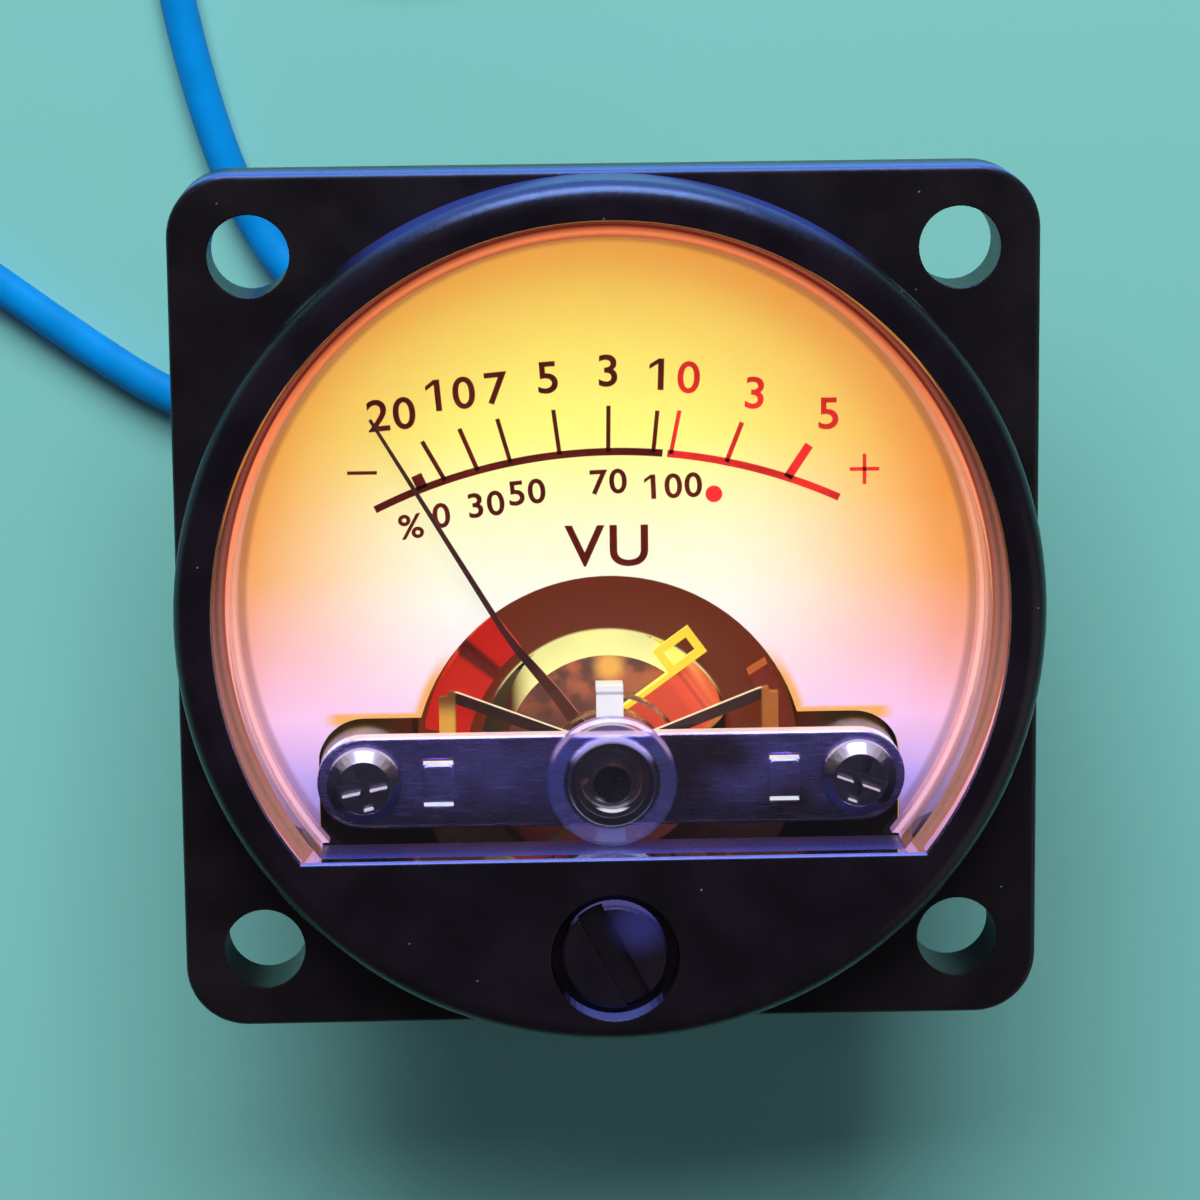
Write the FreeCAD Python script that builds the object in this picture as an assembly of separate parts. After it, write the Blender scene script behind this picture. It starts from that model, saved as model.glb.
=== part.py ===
import FreeCAD, Part
import math
import os

from FreeCAD import Vector

# Small round panel meter with a square mounting flange, lying on its back.
# Millimetres. +Z is the way the dial faces, +Y is towards twelve o'clock, and z = 0 is the
# surface that the tips of the four solder tags stand on. The axis of the case is x = y = 0.

os.makedirs("parts", exist_ok=True)

# Fits
RUNNING_GAP = 0.06
LOOSE_GAP = 0.1
SEAT_GAP = 0.02
PAST = 1.0
RIGHT_ANGLE = 90.0

# Case
FLANGE_SIDE = 35.0
FLANGE_CORNER = 2.5
FLANGE_EDGE = 0.25
FLANGE_THICK = 3.5
HOLE_EDGE = 3.25
HOLE_RADIUS = 1.65
CASE_WALL = 1.0
CASE_DEPTH = 11.5
BACK_WALL = 1.2
BACK_EDGE = 0.8
TAG_LENGTH = 7.0

# Bezel and window
BEZEL_INSET = 0.1
BEZEL_WALL = 1.5
BEZEL_HEIGHT = 4.2
BEZEL_EDGE = 0.9
BEZEL_PEG_RADIUS = 0.4
BEZEL_PEG_LENGTH = 1.2
SHELF_EDGE = 1.45
SHELF_LIFT = 0.4
LENS_THICK = 0.9
LENS_INSET = 0.1
LENS_SKIRT = 0.6
LIGHT_RING_WIDTH = 0.8

# Dial
DIAL_DROP = 0.5
DIAL_THICK = 0.5
FILTER_THICK = 0.3
DIAL_OVERLAP = 0.1
DIAL_CUT_GAP = 0.1
DIAL_LEDGE = 1.1
DIAL_UNDER_SHELF = 0.25
LOBE_GAP = 0.35
LOBE_CORNER = 1.9

# Movement axis and bridge bar
BAR_RISE = 1.4
BAR_THICK = 0.7
BAR_HALF_WIDTH = 1.9
BAR_EDGE = 0.15
BAR_SHELF_GAP = 0.9
BRIDGE_HEAD_RADIUS = 1.5
BRIDGE_HEAD_HEIGHT = 0.85
SCREW_SHANK_RADIUS = 0.55
BRIDGE_SHANK_LENGTH = 4.0
PAN_CROWN = 0.72
PAN_EDGE = 0.55
SCREW_TIP = 0.6
CROSS_WIDTH = 0.4
CROSS_REACH = 0.93
CROSS_DEPTH = 0.6
LANCE_FROM_SCREW = 3.0
LANCE_WIDTH = 1.2
LANCE_HEIGHT = 1.5
LANCE_CORNER = 0.24
LANCE_RAISE = 0.25
LANCE_SLIT = 0.22

# Front bearing
HOLDER_RADIUS = 2.65
HOLDER_DISC = 0.55
HOLDER_CHAMFER = 0.16
HOLDER_RING_RADIUS = 1.82
HOLDER_RING_RAISE = 0.35
HOLDER_RING_DRAFT = 0.13
HOLDER_NECK_RADIUS = 1.5
HOLDER_BOSS_RADIUS = 1.25
JEWEL_RADIUS = 0.75
JEWEL_SLOT = 0.25

# Strap under the bar
STRAP_THICK = 0.35
STRAP_RING_RADIUS = 2.15
STRAP_ARM_WIDTH = 0.45
STRAP_ARM_START_X = 1.4
STRAP_ARM_START_Y = 1.5
STRAP_END_TURN = 65.5
STRAP_END_INSET = 0.45
STRAP_LEG_WIDTH = 0.7

# Zero adjustment
ZERO_EDGE = 1.0
ZERO_HEAD_RADIUS = 2.15
ZERO_HEAD_HEIGHT = 0.95
ZERO_RECESS_RADIUS = 2.6
ZERO_RECESS_DEPTH = 1.2
ZERO_SLOT_WIDTH = 1.1
ZERO_SLOT_DEPTH = 0.6
ZERO_SLOT_TURN = 28.0
ZERO_SHANK_RADIUS = 1.2
ZERO_LIP_RADIUS = 1.6
ZERO_LIP_HEIGHT = 0.4
ZERO_LIP_RISE = 1.0
ZERO_OFFSET = 0.75
ZERO_PIN_RADIUS = 0.45
LEVER_GAP = 0.3
LEVER_THICK = 0.35
LEVER_RING_WIDTH = 0.6
LEVER_ARM_WIDTH = 1.2
FORK_PRONG = 0.6
FORK_OVERLAP = 0.7
TAB_WIDTH = 1.1
TAB_BEND = 0.4
TAB_DROP = 0.7

# Hairsprings: flat spirals of half circles
SPRING_INNER_RADIUS = 1.1
SPRING_HALF_TURNS = 7
SPRING_STEP = 0.33
SPRING_STRIP = 0.14
SPRING_HEIGHT = 0.45

# Moving coil, about the movement axis. It stands across the pointer.
AIR_GAP = 1.1
CORE_END_GAP = 0.45
COIL_SIDE_GAP = 0.15
FORMER_THICK = 0.2
FORMER_FLANGE = 0.2
WINDING_THICK = 0.4
WINDING_WIDTH = 2.5
COIL_CORNER = 0.5
COIL_TAB_LENGTH = 1.8
COIL_TAB_WIDTH = 1.15
COIL_TAB_OUT = 1.0
COIL_TAB_WALL = 0.35
YOKE_WALL = 2.6
YOKE_POST_GAP = 0.25
YOKE_CASE_GAP = 0.3
YOKE_LIFT = 0.2
HUB_RADIUS = 1.3
HUB_HEIGHT = 0.6
NECK_RADIUS = 0.55
COLLET_RADIUS = 0.95
COLLET_HEIGHT = 0.6
COLLET_GAP = 0.15
STAFF_RADIUS = 0.3
STAFF_INTO_JEWEL = 0.45
CONE_LENGTH = 0.3
TIP_RADIUS = 0.06

# Pointer: angles are clockwise from twelve o'clock, at rest
POINTER_TURN = -35.9
POINTER_SWING = 68.0
POINTER_THICK = 0.3
POINTER_GAP = 0.2
POINTER_RING_RADIUS = 0.95
POINTER_RAMP_START = 3.9
POINTER_RAMP_END = 6.3
POINTER_BEND = 7.3
POINTER_BEND_TURN = 4.9
NEEDLE_OVER_DIAL = 1.45
NEEDLE_WIDTH = 0.24
NEEDLE_TIP_WIDTH = 0.12
NEEDLE_THICK = 0.2
NEEDLE_LIFT = 0.55
POINTER_ROOT_WIDTH = 0.7
POINTER_TAIL = 2.7
CROSS_ARM = 2.4
WEIGHT_RADIUS = 0.3
WEIGHT_LENGTH = 0.7

# Parts that hold the movement
BRIDGE_REAR_THICK = 0.7
BRIDGE_REAR_WIDTH = 2.6
BRIDGE_REAR_SEAT = 1.9
SPIGOT_RADIUS = 0.8
SPIGOT_LENGTH = 1.2
LEDGE_THICK = 0.8
LEDGE_SETBACK = 0.7
LEDGE_HALF_ANGLE = 20.0
POST_RADIUS = 1.85
POST_CASE_GAP = 0.972
POST_PILOT_DEPTH = 5.0
BASE_THICK = 0.9
BASE_CENTRE_RADIUS = 3.7
FOOT_RADIUS = 1.85
FOOT_HEIGHT = 0.8
REAR_JEWEL_OUT = 0.35
CHASSIS_HEAD_RADIUS = 1.4
CHASSIS_HEAD_HEIGHT = 0.6
CHASSIS_RECESS = 0.75
CHASSIS_SHANK_LENGTH = 4.2
RETAINER_TOP = 1.5
RETAINER_BORE_GAP = 0.6
RETAINER_EDGE_GAP = 0.2
RETAINER_FROM = 50.0
RETAINER_TO = 78.0
RETAINER_TOE_FROM = 37.0
RETAINER_TOE_LAP = 1.0
RETAINER_TAB_GAP = 0.3
RETAINER_RIGHT_FROM = 58.0
RETAINER_TOE_HEIGHT = 0.7
ANCHOR_WIDTH = 1.2
ANCHOR_THICK = 0.4

# Lamp
LAMP_YOKE_GAP = 2.45
BULB_RADIUS = 2.1
BULB_LENGTH = 8.8
BULB_WALL = 0.35
HOLDER_WALL = 0.8
LAMP_LIP_RADIUS = 3.7
LAMP_LIP_THICK = 0.4
LAMP_HOLDER_INSIDE = 2.2
FILAMENT_POST_RADIUS = 0.16
FILAMENT_POST_X = 0.7
FILAMENT_HEIGHT = 5.2

# Solder tags
TAG_POST_GAP = 0.6
TAG_CASE_GAP = 0.2
LAMP_TAG_GAP = 1.4
LAMP_TAG_SHIFT = 2.3
TAG_WIDTH = 2.0
TAG_THICK = 0.8
TAG_INSIDE = 1.0
TAG_HEAD = 0.4
TAG_HEAD_EXTRA = 0.8
TAG_EYE_RADIUS = 0.45
TAG_EYE_HEIGHT = 1.6
SOLDER_LENGTH = 1.2
SOLDER_ROOT_RADIUS = 0.95
SOLDER_TIP_RADIUS = 0.55

# Lamp leads, which lie on the surface, raised by the thin ties. The routes are chosen points, and
# the rest is coiled.
LEAD_RADIUS = 0.8
LEAD_A_ROUTE = [
    (-7.1, 8.6, 3.2),
    (-10.6, 9.2, 2.8),
    (-13.6, 11.5, 1.6),
    (-15.8, 15.1, 1.05),
    (-17.2, 19.4, 1.02),
    (-18.3, 24.2, 1.02),
    (-18.9, 29.6, 1.02),
    (-18.9, 35.0, 1.02),
]
LEAD_B_ROUTE = [
    (3.9, 8.6, 3.2),
    (0.3, 7.9, 2.9),
    (-4.0, 5.7, 1.7),
    (-8.8, 4.1, 1.1),
    (-13.9, 4.1, 1.02),
    (-18.9, 5.7, 1.02),
    (-23.3, 8.7, 1.02),
    (-28.0, 12.2, 1.02),
    (-32.8, 15.3, 1.02),
]
LEAD_COIL_RADIUS = 9.85
LEAD_COIL_STEP = 1.05
LEAD_COIL_HALF_TURNS = 3
LEAD_END_RADIUS = 0.4
LEAD_END_LENGTH = 3.0
TIE_WIDTH = 1.6
TIE_THICK = 0.2
TIE_CORNER = 0.72
LEAD_CORNER_SHARE = 0.45

# Radii and places, from the flange inwards
BEZEL_RADIUS = FLANGE_SIDE / 2 - BEZEL_INSET
WINDOW_RADIUS = BEZEL_RADIUS - BEZEL_WALL
DIAL_RADIUS = WINDOW_RADIUS + DIAL_OVERLAP
MOUTH_RADIUS = DIAL_RADIUS + LOOSE_GAP
CASE_BORE_RADIUS = MOUTH_RADIUS - DIAL_LEDGE
CASE_RADIUS = CASE_BORE_RADIUS + CASE_WALL
HOLE_SPACING = FLANGE_SIDE - 2 * HOLE_EDGE
ZERO_Y = ZERO_RECESS_RADIUS + ZERO_EDGE - BEZEL_RADIUS
WINDOW_CHORD_Y = ZERO_Y + ZERO_RECESS_RADIUS + SHELF_EDGE
DIAL_CHORD_Y = WINDOW_CHORD_Y - DIAL_UNDER_SHELF
PIVOT_Y = WINDOW_CHORD_Y + BAR_SHELF_GAP + BAR_HALF_WIDTH
BRIDGE_SCREW_X = math.sqrt((CASE_BORE_RADIUS - POST_CASE_GAP - POST_RADIUS) ** 2 - PIVOT_Y ** 2)
LANCE_X = BRIDGE_SCREW_X - LANCE_FROM_SCREW
LOBE_HALF_WIDTH = BRIDGE_SCREW_X + BAR_HALF_WIDTH
LOBE_TOP = BAR_HALF_WIDTH + LOBE_GAP
YOKE_RADIUS = BRIDGE_SCREW_X - POST_RADIUS - YOKE_POST_GAP
YOKE_BORE_RADIUS = YOKE_RADIUS - YOKE_WALL
CORE_RADIUS = YOKE_BORE_RADIUS - AIR_GAP
DIAL_CUT_RADIUS = YOKE_RADIUS + DIAL_CUT_GAP
BRIDGE_REAR_REACH = YOKE_BORE_RADIUS + BRIDGE_REAR_SEAT
LEDGE_INNER_RADIUS = YOKE_BORE_RADIUS + LEDGE_SETBACK
RETAINER_INNER_RADIUS = YOKE_BORE_RADIUS + RETAINER_BORE_GAP
RETAINER_OUTER_RADIUS = YOKE_RADIUS - RETAINER_EDGE_GAP
STRAP_END_RADIUS = RETAINER_OUTER_RADIUS - STRAP_END_INSET
STRAP_ARM_END_X = STRAP_END_RADIUS * math.sin(math.radians(STRAP_END_TURN))
STRAP_ARM_END_Y = STRAP_END_RADIUS * math.cos(math.radians(STRAP_END_TURN))
NEEDLE_LENGTH = DIAL_RADIUS + NEEDLE_OVER_DIAL - POINTER_BEND
LAMP_HOLDER_RADIUS = BULB_RADIUS + HOLDER_WALL
LAMP_Y = PIVOT_Y + YOKE_RADIUS + LAMP_YOKE_GAP + LAMP_HOLDER_RADIUS
LAMP_TAG_X = LAMP_LIP_RADIUS + LAMP_TAG_GAP + TAG_THICK / 2
LAMP_TAG_Y = LAMP_Y + LAMP_TAG_SHIFT
TAG_HEAD_HALF_WIDTH = (TAG_WIDTH + TAG_HEAD_EXTRA) / 2
TAG_HEAD_HALF_THICK = (TAG_THICK + TAG_HEAD_EXTRA) / 2
SIGNAL_TAG_Y = PIVOT_Y - FOOT_RADIUS - TAG_POST_GAP - TAG_HEAD_HALF_THICK
TAG_ROOM = CASE_BORE_RADIUS - TAG_CASE_GAP
SIGNAL_TAG_X = math.sqrt(TAG_ROOM ** 2 - (SIGNAL_TAG_Y - TAG_HEAD_HALF_THICK) ** 2) - TAG_HEAD_HALF_WIDTH

# Levels, from the surface up
BACK_Z = TAG_LENGTH
INNER_BACK_Z = BACK_Z + BACK_WALL
FLANGE_BACK_Z = BACK_Z + CASE_DEPTH
FLANGE_Z = FLANGE_BACK_Z + FLANGE_THICK
FRONT_Z = FLANGE_Z + BEZEL_HEIGHT
SHELF_Z = FLANGE_Z + SHELF_LIFT
DIAL_Z = FLANGE_Z - DIAL_DROP
FILTER_Z = DIAL_Z - DIAL_THICK
LEDGE_Z = FILTER_Z - FILTER_THICK
LENS_Z = FRONT_Z - LENS_INSET
BAR_Z = DIAL_Z + BAR_RISE
BAR_TOP_Z = BAR_Z + BAR_THICK
LEVER_TOP_Z = BAR_Z - STRAP_THICK - LEVER_GAP
LEVER_Z = LEVER_TOP_Z - LEVER_THICK
BEARING_Z = LEVER_Z - LOOSE_GAP
COLLET_TOP_Z = BEARING_Z - COLLET_GAP
COLLET_Z = COLLET_TOP_Z - COLLET_HEIGHT
SPRING_Z = COLLET_Z + (COLLET_HEIGHT - SPRING_HEIGHT) / 2
POINTER_Z = COLLET_Z - POINTER_GAP - POINTER_THICK
COIL_TOP_Z = POINTER_Z - HUB_HEIGHT
COIL_THICK = WINDING_THICK + FORMER_THICK
CORE_TOP_Z = COIL_TOP_Z - COIL_THICK - CORE_END_GAP
YOKE_TOP_Z = CORE_TOP_Z + YOKE_LIFT
BASE_Z = INNER_BACK_Z + FOOT_HEIGHT
BASE_TOP_Z = BASE_Z + BASE_THICK
REAR_COLLET_Z = BASE_TOP_Z + COLLET_GAP
REAR_COLLET_TOP_Z = REAR_COLLET_Z + COLLET_HEIGHT
REAR_SPRING_Z = REAR_COLLET_Z + (COLLET_HEIGHT - SPRING_HEIGHT) / 2
COIL_Z = REAR_COLLET_TOP_Z + HUB_HEIGHT / 2
COIL_INNER_Z = COIL_Z + COIL_THICK
BRIDGE_REAR_Z = COIL_INNER_Z + COIL_SIDE_GAP
CORE_Z = BRIDGE_REAR_Z + BRIDGE_REAR_THICK
ZERO_LIP_Z = SHELF_Z + ZERO_LIP_RISE
ZERO_NECK_Z = ZERO_LIP_Z + ZERO_LIP_HEIGHT + LOOSE_GAP
BULB_Z = BACK_Z + BACK_WALL / 2

COIL_INNER_RADIUS = CORE_RADIUS + COIL_SIDE_GAP
COIL_WIDTH = WINDING_WIDTH + 2 * FORMER_FLANGE
COIL_OUTER_RADIUS = COIL_INNER_RADIUS + COIL_THICK
COIL_TAB_REACH = COIL_OUTER_RADIUS + COIL_TAB_OUT
COIL_TAB_SIDE = COIL_WIDTH / 2 + COIL_TAB_WIDTH
BRIDGE_REAR_TURN = POINTER_TURN + POINTER_SWING / 2
RETAINER_CLEAR_RADIUS = math.hypot(COIL_TAB_REACH, COIL_TAB_SIDE) + RETAINER_TAB_GAP
LENS_RADIUS = WINDOW_RADIUS - LOOSE_GAP
LENS_CHORD_Y = WINDOW_CHORD_Y + LOOSE_GAP
HOLDER_HOLE_RADIUS = HOLDER_NECK_RADIUS + SEAT_GAP
LEVER_HOLE_RADIUS = HOLDER_BOSS_RADIUS + RUNNING_GAP
LEVER_RING_RADIUS = LEVER_HOLE_RADIUS + LEVER_RING_WIDTH
PIN_REACH = PIVOT_Y - ZERO_Y - ZERO_OFFSET
SPRING_OUTER_RADIUS = SPRING_INNER_RADIUS + SPRING_STEP * (SPRING_HALF_TURNS - 1)
TAB_INNER = SPRING_OUTER_RADIUS + SPRING_STRIP / 2 + RUNNING_GAP
PEG_DISTANCE = (MOUTH_RADIUS + BEZEL_RADIUS) / 2
SCREW_HOLE_RADIUS = SCREW_SHANK_RADIUS + LOOSE_GAP
PILOT_RADIUS = SCREW_SHANK_RADIUS + SEAT_GAP

UP = Vector(0, 0, 1)
PIVOT = Vector(0, PIVOT_Y, 0)


def save(name, shape):
    shape.exportStep("parts/" + name + ".step")


def disc(radius, low, high, x=0.0, y=0.0):
    return Part.makeCylinder(radius, high - low, Vector(x, y, low))


def ring(outer, inner, low, high, x=0.0, y=0.0):
    return disc(outer, low, high, x, y).cut(disc(inner, low - PAST, high + PAST, x, y))


def block(x_low, x_high, y_low, y_high, low, high):
    return Part.makeBox(x_high - x_low, y_high - y_low, high - low, Vector(x_low, y_low, low))


def rounded_block(half_x, half_y, corner, low, high, x=0.0, y=0.0):
    box = block(x - half_x, x + half_x, y - half_y, y + half_y, low, high)
    upright = [e for e in box.Edges if abs(e.tangentAt(e.FirstParameter).z) > 0.99]
    return box.makeFillet(corner, upright)


def top_edges(shape, height):
    return [e for e in shape.Edges if e.BoundBox.ZMin > height - SEAT_GAP]


def turned(shape, clockwise):
    """Turned about the movement axis, clockwise as the dial is seen."""
    copy = shape.copy()
    copy.rotate(PIVOT, UP, -clockwise)
    return copy


def revolve(profile, x=0.0, y=0.0):
    """A solid of revolution from (radius, height) corners, about a vertical axis at x, y."""
    points = [Vector(x + r, y, z) for r, z in profile]
    wire = Part.makePolygon(points + points[:1])
    return Part.Face(wire).revolve(Vector(x, y, 0), UP, 360)


def sector(outer, inner, turn_from, turn_to, low, high):
    """A piece of a ring about the movement axis, between two clockwise angles."""
    spread = turn_to - turn_from
    start = Vector(inner, 0, low)
    corners = [start, Vector(outer, 0, low), Vector(outer, 0, high), Vector(inner, 0, high), start]
    solid = Part.Face(Part.makePolygon(corners)).revolve(Vector(0, 0, 0), UP, spread)
    solid.translate(PIVOT)
    return turned(solid, turn_to - RIGHT_ANGLE)


def d_face(radius, chord_y, low, high):
    """A round plate cut straight along its lower side."""
    plate = disc(radius, low, high)
    return plate.cut(block(-2 * radius, 2 * radius, -2 * radius, chord_y, low - PAST, high + PAST))


def cross_recess(x, y, top, depth, turn):
    """The cross-shaped driver recess of a small screw."""
    half = CROSS_REACH
    width = CROSS_WIDTH / 2
    one = block(x - half, x + half, y - width, y + width, top - depth, top + PAST)
    two = block(x - width, x + width, y - half, y + half, top - depth, top + PAST)
    cut = one.fuse(two)
    cut.rotate(Vector(x, y, 0), UP, turn)
    return cut


def spring_half_turns(inner, half_turns, step):
    """The centre, radius, start angle and sweep of each half turn of a flat spring."""
    arcs = []
    for turn in range(half_turns):
        odd = turn % 2
        centre = Vector(0, -step * odd, 0)
        arcs.append((centre, inner + step * turn, math.pi * (odd - 0.5), math.pi))
    return arcs


def spiral(inner, half_turns, step, strip, low, high):
    """A flat spring: half circles of growing radius, with the strip's two sides as one outline."""
    inside, outside = [], []
    for centre, radius, start, sweep in spring_half_turns(inner, half_turns, step):
        for shift, edges in ((-strip / 2, inside), (strip / 2, outside)):
            circle = Part.Circle(centre, UP, radius + shift)
            edges.append(Part.Arc(circle, start, start + sweep).toShape())
    first = Part.makeLine(inside[0].Vertexes[0].Point, outside[0].Vertexes[0].Point)
    last = Part.makeLine(inside[-1].Vertexes[-1].Point, outside[-1].Vertexes[-1].Point)
    wire = Part.Wire(Part.__sortEdges__(inside + outside + [first, last]))
    solid = Part.Face(wire).extrude(Vector(0, 0, high - low))
    solid.translate(Vector(0, PIVOT_Y, low))
    return solid


def peg_places():
    return [(PEG_DISTANCE, 0), (-PEG_DISTANCE, 0), (0, PEG_DISTANCE), (0, -PEG_DISTANCE)]


def rear_case():
    half = FLANGE_SIDE / 2
    flange = rounded_block(half, half, FLANGE_CORNER, FLANGE_BACK_Z, FLANGE_Z)
    flange = flange.makeFillet(FLANGE_EDGE, top_edges(flange, FLANGE_Z))
    can = disc(CASE_RADIUS, BACK_Z, FLANGE_BACK_Z)
    can = can.makeFillet(BACK_EDGE, [e for e in can.Edges if e.BoundBox.ZMax < BACK_Z + 0.01])
    body = flange.fuse(can)
    body = body.cut(disc(CASE_BORE_RADIUS, INNER_BACK_Z, FLANGE_Z + PAST))
    body = body.cut(disc(MOUTH_RADIUS, LEDGE_Z, FLANGE_Z + PAST))
    for x in (-BRIDGE_SCREW_X, BRIDGE_SCREW_X):
        body = body.fuse(disc(FOOT_RADIUS, INNER_BACK_Z - BACK_WALL / 2, BASE_Z, x, PIVOT_Y))
        body = body.cut(disc(SCREW_HOLE_RADIUS, BACK_Z - PAST, BASE_Z + PAST, x, PIVOT_Y))
        head_room = CHASSIS_HEAD_RADIUS + LOOSE_GAP
        body = body.cut(disc(head_room, BACK_Z - PAST, BACK_Z + CHASSIS_RECESS, x, PIVOT_Y))
        for y in (-HOLE_SPACING / 2, HOLE_SPACING / 2):
            corner = math.copysign(HOLE_SPACING / 2, x)
            body = body.cut(disc(HOLE_RADIUS, FLANGE_BACK_Z - PAST, FLANGE_Z + PAST, corner, y))
    for x, y in peg_places():
        hole_bottom = FLANGE_Z - BEZEL_PEG_LENGTH - LOOSE_GAP
        body = body.cut(disc(BEZEL_PEG_RADIUS + RUNNING_GAP, hole_bottom, FLANGE_Z + PAST, x, y))
    body = body.cut(disc(LAMP_HOLDER_RADIUS + SEAT_GAP, BACK_Z - PAST, INNER_BACK_Z + PAST, 0, LAMP_Y))
    for slot in tag_slots():
        body = body.cut(slot)
    return body.removeSplitter()


def front_bezel():
    body = disc(BEZEL_RADIUS, FLANGE_Z, FRONT_Z)
    body = body.makeFillet(BEZEL_EDGE, top_edges(body, FRONT_Z))
    body = body.cut(d_face(WINDOW_RADIUS, WINDOW_CHORD_Y, FLANGE_Z - PAST, FRONT_Z + PAST))
    body = body.cut(disc(MOUTH_RADIUS, FLANGE_Z - PAST, SHELF_Z))
    wall = BEZEL_RADIUS - WINDOW_RADIUS
    core_top = FRONT_Z - ZERO_RECESS_DEPTH - ZERO_LIP_HEIGHT
    hollow = disc(WINDOW_RADIUS - wall / 2, SHELF_Z - PAST, core_top)
    upper_side = WINDOW_CHORD_Y - wall
    hollow = hollow.cut(block(-BEZEL_RADIUS, BEZEL_RADIUS, upper_side, BEZEL_RADIUS, 0, FRONT_Z))
    hollow = hollow.cut(disc(ZERO_RECESS_RADIUS + wall / 2, 0, FRONT_Z, 0, ZERO_Y))
    body = body.cut(hollow)
    body = body.cut(disc(ZERO_RECESS_RADIUS, FRONT_Z - ZERO_RECESS_DEPTH, FRONT_Z + PAST, 0, ZERO_Y))
    body = body.cut(disc(ZERO_SHANK_RADIUS + RUNNING_GAP, SHELF_Z - PAST, FRONT_Z, 0, ZERO_Y))
    body = body.cut(disc(ZERO_LIP_RADIUS + 2 * LOOSE_GAP, SHELF_Z - PAST, ZERO_NECK_Z, 0, ZERO_Y))
    for x, y in peg_places():
        body = body.fuse(disc(BEZEL_PEG_RADIUS, FLANGE_Z - BEZEL_PEG_LENGTH, FLANGE_Z + BEZEL_EDGE, x, y))
    return body.removeSplitter()


def window_lens():
    plate = d_face(LENS_RADIUS, LENS_CHORD_Y, LENS_Z - LENS_THICK, LENS_Z)
    skirt = ring(LENS_RADIUS, LENS_RADIUS - LENS_SKIRT, SHELF_Z, LENS_Z - LENS_THICK)
    skirt = skirt.cut(block(-BEZEL_RADIUS, BEZEL_RADIUS, -BEZEL_RADIUS, LENS_CHORD_Y, 0, FRONT_Z))
    return plate.fuse(skirt).removeSplitter()


def light_ring():
    body = ring(LENS_RADIUS, LENS_RADIUS - LIGHT_RING_WIDTH, DIAL_Z, SHELF_Z)
    return body.cut(block(-BEZEL_RADIUS, BEZEL_RADIUS, -BEZEL_RADIUS, LENS_CHORD_Y, 0, FRONT_Z))


def dial_sheet(low, high):
    sheet = disc(DIAL_RADIUS, low, high)
    sheet = sheet.cut(disc(DIAL_CUT_RADIUS, low - PAST, high + PAST, 0, PIVOT_Y))
    lobe_top = PIVOT_Y + LOBE_TOP
    lobe_centre = (lobe_top - BEZEL_RADIUS) / 2
    lobes = rounded_block(LOBE_HALF_WIDTH, lobe_top - lobe_centre, LOBE_CORNER, low - PAST, high + PAST,
                          0, lobe_centre)
    sheet = sheet.cut(lobes)
    return sheet.cut(block(-BEZEL_RADIUS, BEZEL_RADIUS, -BEZEL_RADIUS, DIAL_CHORD_Y, low - PAST, high + PAST))


def front_bridge():
    length = BRIDGE_SCREW_X
    bar = block(-length, length, PIVOT_Y - BAR_HALF_WIDTH, PIVOT_Y + BAR_HALF_WIDTH, BAR_Z, BAR_TOP_Z)
    for x in (-length, length):
        bar = bar.fuse(disc(BAR_HALF_WIDTH, BAR_Z, BAR_TOP_Z, x, PIVOT_Y))
    bar = bar.removeSplitter()
    bar = bar.makeFillet(BAR_EDGE, top_edges(bar, BAR_TOP_Z))
    for x in (-LANCE_X, LANCE_X):
        lance = rounded_block(LANCE_WIDTH / 2, LANCE_HEIGHT / 2, LANCE_CORNER, BAR_Z,
                              BAR_TOP_Z + LANCE_RAISE, x, PIVOT_Y)
        bar = bar.fuse(lance)
        for side in (-1, 1):
            edge = PIVOT_Y + side * (LANCE_HEIGHT / 2 + LANCE_SLIT / 2)
            half = LANCE_WIDTH / 2
            bar = bar.cut(block(x - half, x + half, edge - LANCE_SLIT / 2, edge + LANCE_SLIT / 2, 0, FRONT_Z))
    for x in (-length, length):
        bar = bar.cut(disc(SCREW_HOLE_RADIUS, 0, FRONT_Z, x, PIVOT_Y))
    return bar.cut(disc(HOLDER_HOLE_RADIUS, 0, FRONT_Z, 0, PIVOT_Y)).removeSplitter()


def pan_screw(x, top, head_radius, head_height, shank_length, turn):
    """A pan head screw whose shank points down from under its head."""
    seat = top - head_height
    crown = head_radius * PAN_CROWN
    profile = [
        (0, seat - shank_length),
        (SCREW_SHANK_RADIUS * SCREW_TIP, seat - shank_length),
        (SCREW_SHANK_RADIUS, seat - shank_length + SCREW_SHANK_RADIUS),
        (SCREW_SHANK_RADIUS, seat),
        (head_radius, seat),
        (head_radius, seat + head_height * PAN_EDGE),
        (crown, top),
        (0, top),
    ]
    return revolve(profile, x, PIVOT_Y).cut(cross_recess(x, PIVOT_Y, top, head_height * CROSS_DEPTH, turn))


def bridge_screws():
    top = BAR_TOP_Z + BRIDGE_HEAD_HEIGHT
    pair = [pan_screw(x, top, BRIDGE_HEAD_RADIUS, BRIDGE_HEAD_HEIGHT, BRIDGE_SHANK_LENGTH, turn)
            for x, turn in ((-BRIDGE_SCREW_X, 12), (BRIDGE_SCREW_X, 70))]
    return Part.makeCompound(pair)


def chassis_screws():
    pair = []
    for x in (-BRIDGE_SCREW_X, BRIDGE_SCREW_X):
        seat = BACK_Z + CHASSIS_RECESS
        screw = pan_screw(x, CHASSIS_HEAD_HEIGHT, CHASSIS_HEAD_RADIUS, CHASSIS_HEAD_HEIGHT,
                          CHASSIS_SHANK_LENGTH, 45)
        screw.rotate(Vector(x, PIVOT_Y, 0), Vector(0, 1, 0), 180)
        screw.translate(Vector(0, 0, seat))
        pair.append(screw)
    return Part.makeCompound(pair)


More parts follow.
